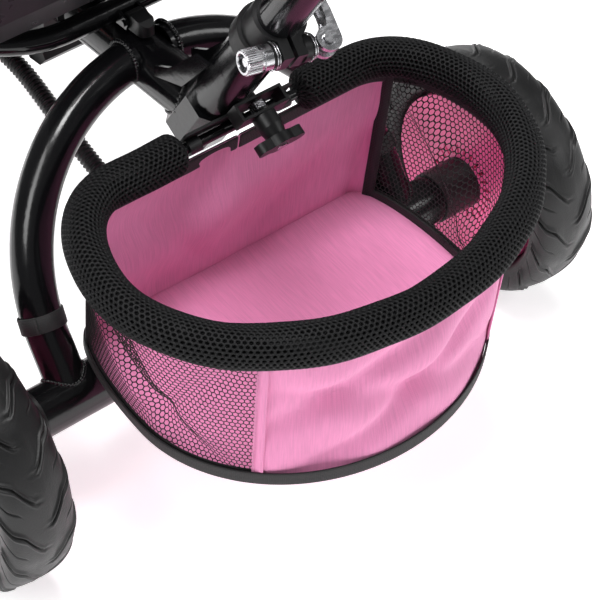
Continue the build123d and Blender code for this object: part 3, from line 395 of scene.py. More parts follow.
def tube_mesh(points, radii, sides=12, closed=False):
    """Points and faces of a round tube with capped ends."""
    points = np.asarray(points, float)
    radii = np.broadcast_to(np.asarray(radii, float), (len(points),))
    across, up = sweep_frames(points, closed)
    turn = np.linspace(0, 2 * pi, sides, endpoint=False)
    rings = (
        points[:, None]
        + across[:, None] * (radii[:, None] * np.cos(turn))[..., None]
        + up[:, None] * (radii[:, None] * np.sin(turn))[..., None]
    )
    if closed:
        return rings.reshape(-1, 3), grid_faces(len(points), sides, wrap_rows=True, wrap_columns=True)
    return rings.reshape(-1, 3), skin_faces(len(points), sides)


STRAP_SECTION = ((-1, -1), (-0.92, 1), (0.92, 1), (1, -1))


def strap(name, points, facing, width, thickness, material="webbing", body="frame"):
    """A flat strap along a line. facing is its outward normal at each point."""
    points = np.asarray(points, float)
    ahead = np.gradient(points, axis=0)
    ahead /= np.linalg.norm(ahead, axis=1)[:, None]
    facing = np.broadcast_to(np.asarray(facing, float), points.shape)
    wide = np.cross(ahead, facing)
    wide /= np.linalg.norm(wide, axis=1)[:, None]
    out = np.cross(wide, ahead)
    run = along(points)
    places, uvs = [], []
    for point, w, o, distance in zip(points, wide, out, run):
        for a, b in STRAP_SECTION:
            places.append(point + w * a * width / 2 + o * b * thickness / 2)
            uvs.append((a * width / 2, distance))
    faces = skin_faces(len(points), len(STRAP_SECTION))
    return make_piece(name, places, faces, material, body, uvs=uvs)


def joined(parts):
    """One list of points and one of faces, from several (points, faces) pairs."""
    points, faces = [], []
    for some_points, some_faces in parts:
        start = len(points)
        points.extend(tuple(p) for p in some_points)
        faces.extend(tuple(i + start for i in face) for face in some_faces)
    return points, faces


def lathe_mesh(centre, axis, profile, sides=32, bumps=None):
    """A turned shape from (radius, distance along the axis) pairs. bumps(turn, k) is added to radius k."""
    axis = Vector(axis).normalized()
    across = axis.orthogonal().normalized()
    up = axis.cross(across)
    points = []
    for k, (radius, distance) in enumerate(profile):
        for step in range(sides):
            turn = 2 * pi * step / sides
            reach = radius + (bumps(turn, k) if bumps else 0)
            points.append(Vector(centre) + axis * distance + (across * cos(turn) + up * sin(turn)) * reach)
    return points, skin_faces(len(profile), sides)


def bevelled(piece, width, segments, angle):
    """Softens the edges of a piece that turn by more than the angle."""
    modifier = piece.modifiers.new("bevel", "BEVEL")
    modifier.width = width
    modifier.segments = segments
    modifier.limit_method = "ANGLE"
    modifier.angle_limit = radians(angle)
    return piece


def thickened(piece, thickness, levels=0):
    modifier = piece.modifiers.new("thickness", "SOLIDIFY")
    modifier.thickness = thickness
    modifier.offset = 0
    if levels:
        piece.modifiers.new("smooth", "SUBSURF").render_levels = levels
    return piece


for hard_node in ("basket_bracket", "basket_knob", "qr_lever", "clamp_collar", "frame_gussets", "footrest"):
    bevelled(NODES[hard_node], 0.0005, 2, 40)


HEX_CORNERS = ((0, 2), (1, 1), (1, -1), (0, -2), (-1, -1), (-1, 1))


def honeycomb_mesh(columns, rows, place, hole, ridge, depth=0.0, floor_size=0.5, wrap=False):
    """Hexagonal holes between raised ribs. place(column, row, height) gives a point.

    With a depth each hole has a floor that far down, and without one the holes are open and ribbed behind.
    """
    points, faces, shared = [], [], {}

    def point(column, row, height):
        points.append(place(column, row, height))
        return len(points) - 1

    def corner(column, row, dx, dy, height):
        key = (round(2 * column) + dx, (3 * row + dy) % (3 * rows) if wrap else 3 * row + dy, height > 0)
        if key not in shared:
            shared[key] = point(column + dx / 2, row + dy / 3, height)
        return shared[key]

    for row in range(rows):
        for index in range(columns):
            column = index + 0.5 * (row % 2)
            rim = [corner(column, row, dx, dy, ridge) for dx, dy in HEX_CORNERS]
            edge = [point(column + dx * hole / 2, row + dy * hole / 3, 0) for dx, dy in HEX_CORNERS]
            sides = range(6)
            faces += [(rim[k], edge[k], edge[k - 1], rim[k - 1]) for k in sides]
            if depth:
                small = hole * floor_size
                corners = [(column + dx * small / 2, row + dy * small / 3) for dx, dy in HEX_CORNERS]
                low = [point(*place_in_grid, -depth) for place_in_grid in corners]
                faces += [(edge[k], low[k], low[k - 1], edge[k - 1]) for k in sides]
                faces.append(tuple(low[::-1]))
            else:
                back = [corner(column, row, dx, dy, -ridge) for dx, dy in HEX_CORNERS]
                faces += [(back[k - 1], edge[k - 1], edge[k], back[k]) for k in sides]
    return points, faces


# ---- basket
# Each outline's half width, half its straight front, and how far its front, its middle and its rear
# lie behind the axle.
FLOOR_SIZE = (0.143, 0.120, -0.022, 0.071, 0.190)
MOUTH_SIZE = (0.163, 0.107, 0.001, 0.080, 0.200)
HOOP_SIZE = (0.164, 0.105, -0.001, 0.080, 0.201)
PAD_RADIUS = 0.015
GAP_LEFT, GAP_RIGHT = 0.047, -0.052
RING_COUNT = 720
WALL_RUN = 0.93
WALL_HEIGHT = 0.135
WALL_REST = -0.0012
HOLD_REACH = 0.018
# Where the side nets start and end round the wall, at its floor and at its mouth.
NET_FRONT = (0.160, 0.153)
NET_REAR = (0.361, 0.363)


def tilted(origin, x, y, height=0.0):
    """A point on one of the basket's tilted planes, y running back from the axle."""
    return np.array((
        x + 0 * y,
        origin.y + y * cos(RIM_TILT) + height * sin(RIM_TILT),
        origin.z - y * sin(RIM_TILT) + height * cos(RIM_TILT),
    ))


def basket_ring(origin, size, height=0.0):
    """The basket's outline from the middle of its front, leftwards, evenly spaced."""
    half, front_half, front, middle, rear = size
    step = np.linspace(0, 1, 120, endpoint=False)
    turn = step * pi / 2
    corner = half - front_half
    stretches = (
        (front_half * step, front + 0 * step),
        (front_half + corner * np.sin(turn), middle - (middle - front) * np.cos(turn)),
        (half * np.cos(2 * turn), middle + (rear - middle) * np.sin(2 * turn)),
        (-front_half - corner * np.cos(turn), middle - (middle - front) * np.sin(turn)),
        (-front_half * (1 - step), front + 0 * step),
    )
    x = np.concatenate([s[0] for s in stretches])
    y = np.concatenate([s[1] for s in stretches])
    return even(tilted(origin, x, y, height).T, RING_COUNT, closed=True)


LOW_RING = basket_ring(FLOOR_ORIGIN, FLOOR_SIZE)
HIGH_RING = basket_ring(RIM_ORIGIN, MOUTH_SIZE, -PAD_RADIUS + 0.006)
BASKET_MIDDLE = np.array((0, AXLE_Y + 0.08, 0))


def ring_at(ring, s):
    """A point of a ring, s running from 0 to 1 round it."""
    place = (s % 1) * RING_COUNT
    first = int(place) % RING_COUNT
    part = place - int(place)
    return ring[first] * (1 - part) + ring[(first + 1) % RING_COUNT] * part


def wall_point(s, t, out=0.0):
    """A point of the basket's wall, t running from its floor to its mouth, moved outwards by out."""
    point = ring_at(LOW_RING, s) * (1 - t) + ring_at(HIGH_RING, s) * t
    away = point - BASKET_MIDDLE
    away[2] = 0
    return point + away / np.linalg.norm(away) * out


def wall_facing(s, t):
    away = wall_point(s, t, 0.01) - wall_point(s, t)
    return away / np.linalg.norm(away)


def rest_share(distance):
    """0 at a held edge, growing to 1 away from it."""
    return 1 - np.exp(-distance / HOLD_REACH)


def crease(s, t, line_s, line_t, slope, width, height):
    """A soft fold across the wall through (line_s, line_t), leaning by slope."""
    distance = (s - line_s) - slope * (t - line_t)
    return height * np.exp(-(distance / width) ** 2)


def seam_s(ends, t, side=1):
    """Where a seam is round the wall at height t, on the left or mirrored to the right."""
    s = ends[0] * (1 - t) + ends[1] * t
    return s if side > 0 else 1 - s


def held_share(s, t):
    """0 along the hems and the seams between the wall's panels, growing to 1 away from them."""
    u = min(s % 1, 1 - s % 1)
    share = rest_share(0.14 * t) * rest_share(0.14 * (1 - t))
    for ends in (NET_FRONT, NET_REAR):
        share *= rest_share(WALL_RUN * abs(u - seam_s(ends, t)))
    return share


def rear_slack(s, t):
    """Dimples of the rear panel: it is held at its hems and pulled towards its corners."""
    waves = (
        crease(s, t, 0.43, 0.60, 0.35, 0.035, -0.0095)
        + crease(s, t, 0.50, 0.42, -0.5, 0.045, -0.0065)
        + crease(s, t, 0.57, 0.6, 0.3, 0.03, -0.0085)
        + 0.0016 * sin(70 * s + 5 * t)
    )
    return held_share(s, t) * waves + WALL_REST


def front_slack(s, t):
    """The front wall hangs from the bracket and dips beside it."""
    x = s if s < 0.5 else s - 1
    dips = 0.005 * sin(9 * t + 14 * x) - 0.007 * np.exp(-((x - 0.02) / 0.035) ** 2)
    folds = crease(x, t, 0.07, 0.5, 0.12, 0.012, 0.002) + crease(x, t, -0.08, 0.4, -0.16, 0.014, 0.0025)
    return held_share(s, t) * (dips + folds) + WALL_REST


def net_slack(side, s, t):
    """Long diagonal folds of a side net, deepest near the floor."""
    u = s if side > 0 else 1 - s
    fold = crease(u, t, 0.27, 0.36, -0.20, 0.020, -0.0085) + crease(u, t, 0.215, 0.60, -0.16, 0.014, -0.006)
    return held_share(s, t) * (fold + crease(u, t, 0.315, 0.62, 0.12, 0.014, -0.0045)) + WALL_REST


def cloth_wall(name, s_low, s_high, slack):
    """A sewn wall panel between two seams, each given at the floor and at the mouth."""
    across, up = 90, 36
    points, uvs = [], []
    for j in range(up):
        t = j / (up - 1)
        low, high = seam_s(s_low, t), seam_s(s_high, t)
        for i in range(across):
            s = low + (high - low) * i / (across - 1)
            points.append(wall_point(s, t, slack(s, t)))
            uvs.append((s * WALL_RUN, t * WALL_HEIGHT))
    panel = make_piece(name, points, grid_faces(up, across), "pink", "frame", uvs=uvs)
    return thickened(panel, 0.0006, 1)


def basket_floor():
    """The floor: a pink cloth with a slight sag and pull lines towards its rear corners."""
    rings, around = 26, 144
    edge = LOW_RING[:: RING_COUNT // around]
    middle = edge.mean(axis=0)
    points, uvs = [middle + np.array((0, 0, -0.003))], [(0, 0)]
    for k in range(1, rings + 1):
        share = k / rings
        for point in edge:
            place = middle + (point - middle) * share
            x, y = place[0], place[1] - AXLE_Y
            sag = -0.0035 * (1 - share ** 4) + 0.0008 * sin(46 * y + 20 * x) * (1 - share ** 6)
            fold = 0.0022 * np.exp(-((x + 0.45 * y - 0.05) / 0.010) ** 2) * (1 - share ** 8)
            points.append(place + np.array((0, 0, sag + fold + 0.0026)))
            uvs.append((x, y))
    faces = [(0, 1 + (i + 1) % around, 1 + i)[::-1] for i in range(around)]
    for k in range(rings - 1):
        start = 1 + k * around
        for i in range(around):
            j = (i + 1) % around
            faces.append((start + i, start + around + i, start + around + j, start + j))
    return thickened(make_piece("basket_floor", points, faces, "pink", "frame", uvs=uvs), 0.0007)


def side_net(side, name):
    """An open black net between the front wall and the rear panel."""
    columns, lines = 47, 36

    def place(column, row, height):
        t = row / (lines - 1)
        low, high = seam_s(NET_FRONT, t, side), seam_s(NET_REAR, t, side)
        s = low + (high - low) * column / (columns - 0.5)
        return wall_point(s, t, net_slack(side, s, t) + height)

    points, faces = honeycomb_mesh(columns, lines, place, 0.80, 0.00028)
    if side < 0:
        faces = [face[::-1] for face in faces]
    flat = np.array(points)
    uvs = np.column_stack((np.arctan2(flat[:, 0], flat[:, 1] - AXLE_Y) * 0.12, flat[:, 2]))
    return make_piece(name, points, faces, "net", "frame", uvs=uvs)


def seam_tape(name, s_ends, side, width, thickness, out=0.0, material="webbing", heights=(0.0, 1.0)):
    """A flat binding over a wall seam from floor to mouth."""
    points, facing = [], []
    for t in np.linspace(*heights, 40):
        s = seam_s(s_ends, t, side)
        points.append(wall_point(s, t, net_slack(side, s, t) + out))
        facing.append(wall_facing(s, t))
    return strap(name, points, facing, width, thickness, material)


STITCH_LENGTH = 0.0028
STITCH_PITCH = STITCH_LENGTH * 1.45
STITCH_RADIUS = 0.00022


def stitches(name, places, normals):
    """Short raised threads along a line, each lying half sunk in the cloth."""
    places, normals = np.asarray(places, float), np.asarray(normals)
    run = along(places)
    rise = STITCH_RADIUS * 1.2
    parts = []
    for k in range(int(run[-1] / STITCH_PITCH)):
        marks = np.linspace(k * STITCH_PITCH, k * STITCH_PITCH + STITCH_LENGTH, 4)
        line = at_marks(places, run, marks)
        line += at_marks(normals, run, marks) * np.array((0.0, rise, rise, 0.0))[:, None]
        parts.append(tube_mesh(line, STITCH_RADIUS, 5))
    make_piece(name, *joined(parts), "pink", "frame")


def build_rim_pad():
    """The knitted sleeve on the hoop: rows of small holes, rounded ends at the front gap."""
    ring = basket_ring(RIM_ORIGIN, HOOP_SIZE)
    line = np.vstack((ring, ring[:1]))
    run = along(line)
    start, end = GAP_LEFT, run[-1] + GAP_RIGHT
    last = 699
    centre = at_marks(line, run, np.linspace(start, end, last + 1))
    ahead = np.gradient(centre, axis=0)
    ahead /= np.linalg.norm(ahead, axis=1)[:, None]
    up = np.array((0, sin(RIM_TILT), cos(RIM_TILT)))
    side = np.cross(ahead, up)
    length = end - start
    around, columns = 30, int(length / 0.0040)

    def place(column, row, height):
        share = min(max(column / (columns - 0.5), 0), 1)
        index = min(int(share * last), last - 1)
        part = share * last - index
        point = centre[index] * (1 - part) + centre[index + 1] * part
        turn = 2 * pi * row / around
        from_end = min(share, 1 - share) * length
        narrow = sqrt(max(1 - (1 - min(from_end / 0.009, 1)) ** 2, 0.02))
        lumps = 0.0005 * sin(31 * share * length + 2 * turn) + 0.0004 * sin(90 * share * length + 3 * turn)
        reach = (PAD_RADIUS - 0.0004 + lumps) * narrow + height
        return point + side[index] * cos(turn) * reach + up * sin(turn) * reach

    points, faces = honeycomb_mesh(columns, around, place, 0.66, 0.0005, 0.0015, 0.6, wrap=True)
    points, faces = joined(((points, faces), tube_mesh(centre[4:-4:6], PAD_RADIUS - 0.0022, 20)))
    pad = make_piece("rim_pad_sleeve", points, faces, "air_mesh", "frame", ("basket_rim_pad",))


def wall_band(name, t_low, t_high, out, thickness, s_low=0.0, s_high=1.0):
    """A black binding that follows the basket's wall."""
    around, rows = 240, 5
    points, uvs = [], []
    for t in np.linspace(t_low, t_high, rows):
        for s in np.linspace(s_low, s_high, around):
            points.append(wall_point(s, t, out))
            uvs.append((s * WALL_RUN, t * WALL_HEIGHT))
    piece = make_piece(name, points, grid_faces(rows, around), "webbing", "frame", uvs=uvs)
    return thickened(piece, thickness, 1)


def panel_hem(side, word):
    """The rear panel's folded edge over the net, with its two rows of stitches."""
    ends = tuple(s + 0.004 for s in NET_REAR)
    hem = seam_tape("basket_hem_" + word, ends, side, 0.0085, 0.0011, 0.0007, "pink", (0.03, 0.95))
    for row, shift in (("outer", 0.0012), ("inner", 0.0066)):
        places, facing = [], []
        for t in np.linspace(0.04, 0.93, 60):
            s = seam_s(NET_REAR, t, side) + side * shift
            places.append(wall_point(s, t, net_slack(side, s, t) + 0.0014))
            facing.append(wall_facing(s, t))
        stitches("basket_stitch_" + word + "_" + row, places, facing)
    return hem


def build_basket():
    rear = cloth_wall("basket_rear", NET_REAR, tuple(1 - s for s in NET_REAR), rear_slack)
    front = cloth_wall("basket_front", tuple(-s for s in NET_FRONT), NET_FRONT, front_slack)
    floor_cloth = basket_floor()
    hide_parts("basket_body")
    for side, word in ((1, "left"), (-1, "right")):
        net = side_net(side, "basket_net_" + word)
        inside = (NET_FRONT[0], NET_REAR[0]) if side > 0 else (1 - NET_REAR[0], 1 - NET_FRONT[0])
        tape = seam_tape("basket_tape_" + word, NET_FRONT, side, 0.009, 0.0036)
        edge = wall_band("basket_net_binding_" + word, 0.0, 0.070, WALL_REST - 0.0006, 0.0016, *inside)
        panel_hem(side, word)
    wall_band("basket_floor_binding", -0.025, 0.070, WALL_REST + 0.0022, 0.0016)
    wall_band("basket_mouth_binding", 0.90, 1.0, WALL_REST + 0.0004, 0.0032)


# ---- smooth lines
def smooth_step(values, low, high):
    share = np.clip((values - low) / (high - low), 0, 1)
    return share * share * (3 - 2 * share)


def smooth_line(corners, count):
    """A round line through a few places."""
    corners = np.asarray(corners, float)
    padded = np.vstack((2 * corners[0] - corners[1], corners, 2 * corners[-1] - corners[-2]))
    marks = np.linspace(0, len(corners) - 1, count)
    points = []
    for mark in marks:
        k = min(int(mark), len(corners) - 2)
        f = mark - k
        a, b, c, d = padded[k : k + 4]
        square, cube = 2 * a - 5 * b + 4 * c - d, 3 * b - a - 3 * c + d
        points.append(b + ((c - a) * f + square * f ** 2 + cube * f ** 3) / 2)
    return even(points, count)


# ---- tyres
PITCHES = 15
TREAD_EDGE = radians(104)
GROOVE_ACROSS = (0.06, 0.30, 0.52, 0.95)
GROOVE_AHEAD = (0.0, 0.42, 0.55, 1.05)


def tread_relief(place, reach, pitch):
    """How far the tread stands below its round section. place runs from 0 to 1 over one block."""
    gap = np.minimum(place, 1 - place) * pitch
    half_gap = np.abs(place - 0.5) * pitch
    on_tread = smooth_step(reach, 0.03, 0.07) * (1 - smooth_step(reach, 0.9, 0.96))
    lip = np.exp(-(((gap - 0.0030) / 0.0010) ** 2))
    groove = 0.0022 * (1 - smooth_step(gap, 0.0006, 0.0018)) - 0.0005 * lip
    sipe = 0.0009 * (1 - smooth_step(half_gap, 0.0002, 0.0012)) * smooth_step(reach, 0.28, 0.36)
    parting = 0.0005 * (1 - smooth_step(reach, 0.008, 0.022))
    return on_tread * (groove + sipe + 0.0014 * place * (1 - smooth_step(place, 0.86, 0.97))) + parting


def build_tyre(node, body, inner):
    """A tyre with S-shaped blocks either side of a parting line and a ring on each wall."""
    low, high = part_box(node)
    centre = (low + high) / 2
    outer, half = (high.z - low.z) / 2, (high.x - low.x) / 2
    around, section = 64 * PITCHES, 72
    middle, tall = (outer + inner) / 2, (outer - inner) / 2
    angle = np.linspace(-pi, pi, section, endpoint=False)[None, :]
    reach = np.abs(angle) / TREAD_EDGE
    turn = np.arange(around)[:, None] / around
    place = (turn * PITCHES + np.where(angle < 0, 0.5, 0)) % 1
    relief = tread_relief(place, reach, 2 * pi * outer / PITCHES) * (reach < 1)
    across = np.sign(np.sin(angle)) * np.abs(np.sin(angle)) ** 0.8
    rise = np.sign(np.cos(angle)) * np.abs(np.cos(angle)) ** 0.8
    relief = relief + 0.0009 * (1 - smooth_step(np.abs(rise + 0.30), 0.05, 0.12)) * (np.abs(across) > 0.5)
    turned = 2 * pi * (turn - np.interp(reach, GROOVE_ACROSS, GROOVE_AHEAD) / PITCHES)
    radius = middle + rise * (tall - relief)
    points = np.stack((
        centre.x + across * (half - relief) + 0 * turn,
        centre.y + radius * np.sin(turned),
        centre.z + radius * np.cos(turned),
    ), axis=-1).reshape(-1, 3)
    faces = grid_faces(around, section, wrap_rows=True, wrap_columns=True)
    make_piece(node.replace("tyre", "tread"), points, faces, "tyre", body, (node,))


# ---- brake hose
HOSE_ROUTE = (
    (0.022, 0.086, 0.111), (0.030, -0.024, 0.159), (0.031, -0.101, 0.193),
    (0.038, -0.150, 0.214), (0.034, -0.208, 0.240),
)
HOSE_RADIUS = 0.0075
HOSE_RIB = 0.0036


def build_hose():
    """The corrugated sleeve round the brake cable, held at both ends."""
    line = smooth_line(HOSE_ROUTE, 960)
    run = along(line)
    radii = HOSE_RADIUS - 0.0006 * (1 - np.cos(2 * pi * run / HOSE_RIB))
    make_piece("hose_sleeve", *tube_mesh(line, radii, 24), "plastic", "frame", ("brake_hose",))


# ---- weld beads
def weld(name, places):
    """A bead of overlapping ripples along a closed line."""
    count = 240
    line = even(places, count, closed=True)
    step = np.arange(count) * 2 * pi / count
    radii = 0.0016 + 0.0003 * np.cos(40 * step) + 0.0003 * np.sin(3 * step)
    make_piece(name, *tube_mesh(line, radii, 10, closed=True), "paint", "frame")


AXLE_RADIUS = 0.019
ARCH_TUBE_RADIUS = 0.0155
ARCH_END = (0.0195, 0.0145, 0.2688)
SOCKET_SLOPE = 0.6568


def build_welds():
    """Beads at the arch's feet on the axle tube, at its ends on the main tube, and round the socket."""
    turns = np.linspace(0, 2 * pi, 96, endpoint=False)
    for side, word in ((1, "left"), (-1, "right")):
        foot = []
        for turn in turns:
            sideways, back = ARCH_TUBE_RADIUS * cos(turn), ARCH_TUBE_RADIUS * sin(turn)
            climb = sqrt(AXLE_RADIUS ** 2 - back ** 2)
            x_place = np.array((side * ARCH_RADIUS + sideways, 0, 0))
            foot.append(AXLE + x_place + ARCH_BACK * back + ARCH_UP * climb)
        weld("weld_arch_foot_" + word, foot)
        x, y, z = ARCH_END
        weld("weld_arch_end_" + word, [(side * x, y + 0.0158 * cos(t), z + 0.0158 * sin(t)) for t in turns])
    socket = []
    for turn in turns:
        x, z = 0.020 * cos(turn), 0.262 + 0.020 * sin(turn)
        reach = sqrt(0.0215 ** 2 - x ** 2) / cos(SOCKET_LEAN)
        y = SOCKET_FOOT.y + SOCKET_SLOPE * (z - SOCKET_FOOT.z) - reach
        socket.append((x, y, z))
    weld("weld_socket", socket)


# ---- quick release and basket clamp
CLAMP_TURN = radians(11)
SKEWER = np.array(LEFT * cos(CLAMP_TURN) - TUBE_BACK * sin(CLAMP_TURN))
CLAMP_BACK = np.cross(TUBE_UP, SKEWER)
SKEWER_FOOT = np.array(SOCKET_FOOT) + CLAMP_BACK * 0.022 + np.array(TUBE_UP) * 0.139
KNURL_TEETH = 36


def spring_wire(name, start, axis, inner, outer, length, turns, wire=0.00045):
    """A conical steel spring of round wire on the frame."""
    axis = np.asarray(axis, float) / np.linalg.norm(axis)
    across = np.cross(axis, (0.3, 0.2, 1.0))
    across /= np.linalg.norm(across)
    other = np.cross(axis, across)
    places = []
    for share in np.linspace(0, 1, int(28 * turns)):
        turn, reach = 2 * pi * turns * share, inner + (outer - inner) * share
        places.append(start + axis * length * share + (across * cos(turn) + other * sin(turn)) * reach)
    make_piece(name, *tube_mesh(places, wire, 8), "steel", "frame")


def build_quick_release():
    profile = (
        (0.00305, 0.0140), (0.0082, 0.0140), (0.0088, 0.0146), (0.0088, 0.0206), (0.0080, 0.0210),
        (0.0080, 0.0226), (0.0087, 0.0231), (0.0087, 0.0250), (0.0087, 0.0300), (0.0087, 0.0329),
        (0.0080, 0.0338), (0.0064, 0.0338), (0.0058, 0.0332), (0.0058, 0.0270), (0.00305, 0.0270),
    )
    knurled = range(6, 10)

    def teeth(turn, ring):
        return 0.00028 * cos(KNURL_TEETH * turn) if ring in knurled else 0

    nut = lathe_mesh(SKEWER_FOOT, SKEWER, profile, KNURL_TEETH * 5, teeth)
    make_piece("knurled_nut", *nut, "steel", "frame", ("qr_barrel_nut",), smooth=False)
    left_end, right_end = SKEWER_FOOT + SKEWER * 0.0092, SKEWER_FOOT - SKEWER * 0.0142
    spring_wire("skewer_spring_left", left_end, SKEWER, 0.0089, 0.0098, 0.0046, 2.4)
    spring_wire("skewer_spring_right", right_end, -SKEWER, 0.0099, 0.0078, 0.0050, 2.6)


def build_clamp_details():
    """The bright nut and spring behind the basket's clamp knob, and the insert in its end."""
    bolt = np.array(on_socket(-0.010, 0, 0.042))
    out = np.array(TUBE_BACK)
    nut = (
        (0.0031, 0.0219), (0.0060, 0.0219), (0.0066, 0.0226),
        (0.0066, 0.0276), (0.0060, 0.0283), (0.0031, 0.0283),
    )
    make_piece("bracket_nut", *lathe_mesh(bolt, out, nut, 6), "steel", "frame", smooth=False)
    spring_wire("bracket_spring", bolt + out * 0.0286, out, 0.0042, 0.0042, 0.0034, 2.5)
    insert = ((0.0031, 0.0563), (0.0046, 0.0563), (0.0046, 0.0574), (0.0040, 0.0580), (0.0031, 0.0580))
    make_piece("knob_insert", *lathe_mesh(bolt, out, insert, 6), "steel", "basket_knob", smooth=False)


def build_arch_straps():
    """Two woven bands round the arch, each ending over its own start."""
    turn = radians(4.9)
    for side, word in ((1, "left"), (-1, "right")):
        outward = np.array((side * cos(turn), 0, 0)) + ARCH_UP * sin(turn)
        centre = AXLE + ARCH_UP * 0.046 + outward * ARCH_RADIUS
        places, facing = [], []
        for step in np.linspace(0, 2 * pi + 0.9, 72):
            direction = outward * cos(step) + ARCH_BACK * sin(step)
            places.append(centre + direction * (0.0162 + 0.0012 * smooth_step(step, 5.6, 6.4)))
            facing.append(direction)
        strap("arch_strap_" + word, places, facing, 0.0125, 0.0011)
    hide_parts("basket_straps")


# ---- seat
CUSHION_HALF = 0.116
HARNESS_WIDTH = 0.023
HARNESS_THICKNESS = 0.0016


def block_mesh(outline, steps=24):
    """A closed pad from its side outline (y, z), its sides drawn in between its corners."""
    outline = np.asarray(outline)
    middle = outline.mean(axis=0)
    points = []
    for share in np.linspace(-1, 1, steps):
        pinch = 1 - 0.10 * abs(share) ** 6
        for y, z in middle + (outline - middle) * pinch:
            points.append((share * CUSHION_HALF, y, z))
    return points, skin_faces(steps, len(outline))


def puffed(piece, voxel=0.005, cap=0.006, pressure=4, frames=20):
    """Fills the piece with air as cloth: remeshed, blown up and kept within cap of its start."""
    bpy.context.view_layer.objects.active = piece
    remesh = piece.modifiers.new("remesh", "REMESH")
    remesh.mode = "VOXEL"
    remesh.voxel_size = voxel
    bpy.ops.object.modifier_apply(modifier="remesh")
    start = np.array([v.co for v in piece.data.vertices])
    cloth = piece.modifiers.new("cloth", "CLOTH")
    cloth.settings.quality = 4
    cloth.settings.use_pressure = True
    cloth.settings.uniform_pressure_force = pressure
    cloth.settings.effector_weights.gravity = 0
    cloth.point_cache.frame_end = frames
    for moment in range(1, frames + 1):
        bpy.context.scene.frame_set(moment)
    blown = piece.evaluated_get(bpy.context.evaluated_depsgraph_get())
    moved = np.array([v.co for v in blown.data.vertices]) - start
    far = np.linalg.norm(moved, axis=1, keepdims=True)
    moved *= np.minimum(1, cap / np.maximum(far, 1e-9))
    piece.modifiers.remove(cloth)
    piece.data.vertices.foreach_set("co", (start + moved).ravel())
    bpy.context.scene.frame_set(1)


def sewn(piece, channels, front, depth=0.006, width=0.005):
    """Pulls a pad in along its sewn channels. channels(point) gives the distance to the nearest one."""
    front = np.asarray(front, float)
    places = np.array([v.co for v in piece.data.vertices])
    facing = np.array([v.normal for v in piece.data.vertices])
    pull = depth * np.exp(-(channels(places) / width) ** 2) * np.clip(facing @ front, 0, 1)
    piece.data.vertices.foreach_set("co", (places - front * pull[:, None]).ravel())
    layer = piece.data.uv_layers.new(name="weave")
    corners = np.empty(len(piece.data.loops), int)
    piece.data.loops.foreach_get("vertex_index", corners)
    run = places @ np.cross(front, (1, 0, 0))
    layer.data.foreach_set("uv", np.column_stack((places[:, 0], run))[corners].ravel())
    piece.data.polygons.foreach_set("use_smooth", [True] * len(piece.data.polygons))
    piece.modifiers.new("smooth", "SUBSURF").render_levels = 1


BACK_UP = np.array((0, 0.1164, 0.9932))
BACK_FRONT = np.array((0, -0.9932, 0.1164))
SEAT_CREASE = np.array((0, 0.002, 0.357))


def nearest_channel(places, heights, levels):
    """The distance to a cushion's nearest channel: across it at the levels, or down its border."""
    across = np.min([np.abs(heights - level) for level in levels], axis=0)
    return np.minimum(across, np.abs(np.abs(places[:, 0]) - (CUSHION_HALF - 0.020)))


def build_seat_pads():
    """Two sewn cushions, each with a border and three channels across it."""
    bottom_outline = [(-0.262, 0.3345), (-0.030, 0.3345), (-0.026, 0.350), (-0.262, 0.352), (-0.268, 0.344)]
    bottom = make_piece("seat_cushion", *block_mesh(bottom_outline), "pink", "seat", ("seat_pad",))
    puffed(bottom)

    def bottom_lines(places):
        return nearest_channel(places, places[:, 1], (-0.215, -0.155, -0.095))

    sewn(bottom, bottom_lines, (0, 0, 1))
    foot, top = 0.006, 0.318
    depths = (
        (0.0035, foot), (0.0035, top), (0.0150, top + 0.004),
        (0.0165, top - 0.010), (0.0165, foot + 0.020), (0.0140, foot),
    )
    back_foot = SEAT_CREASE + np.array((0, 0.004, 0))
    back_outline = [tuple((back_foot + BACK_UP * h + BACK_FRONT * d)[1:]) for d, h in depths]
    back = make_piece("back_cushion", *block_mesh(back_outline), "pink", "seat")
    puffed(back)

    def back_lines(places):
        return nearest_channel(places, (places - SEAT_CREASE) @ BACK_UP, (0.085, 0.165, 0.245))

    sewn(back, back_lines, BACK_FRONT)


def harness_strap(name, route, facing):
    strap(name, route, facing, HARNESS_WIDTH, HARNESS_THICKNESS, body="seat")


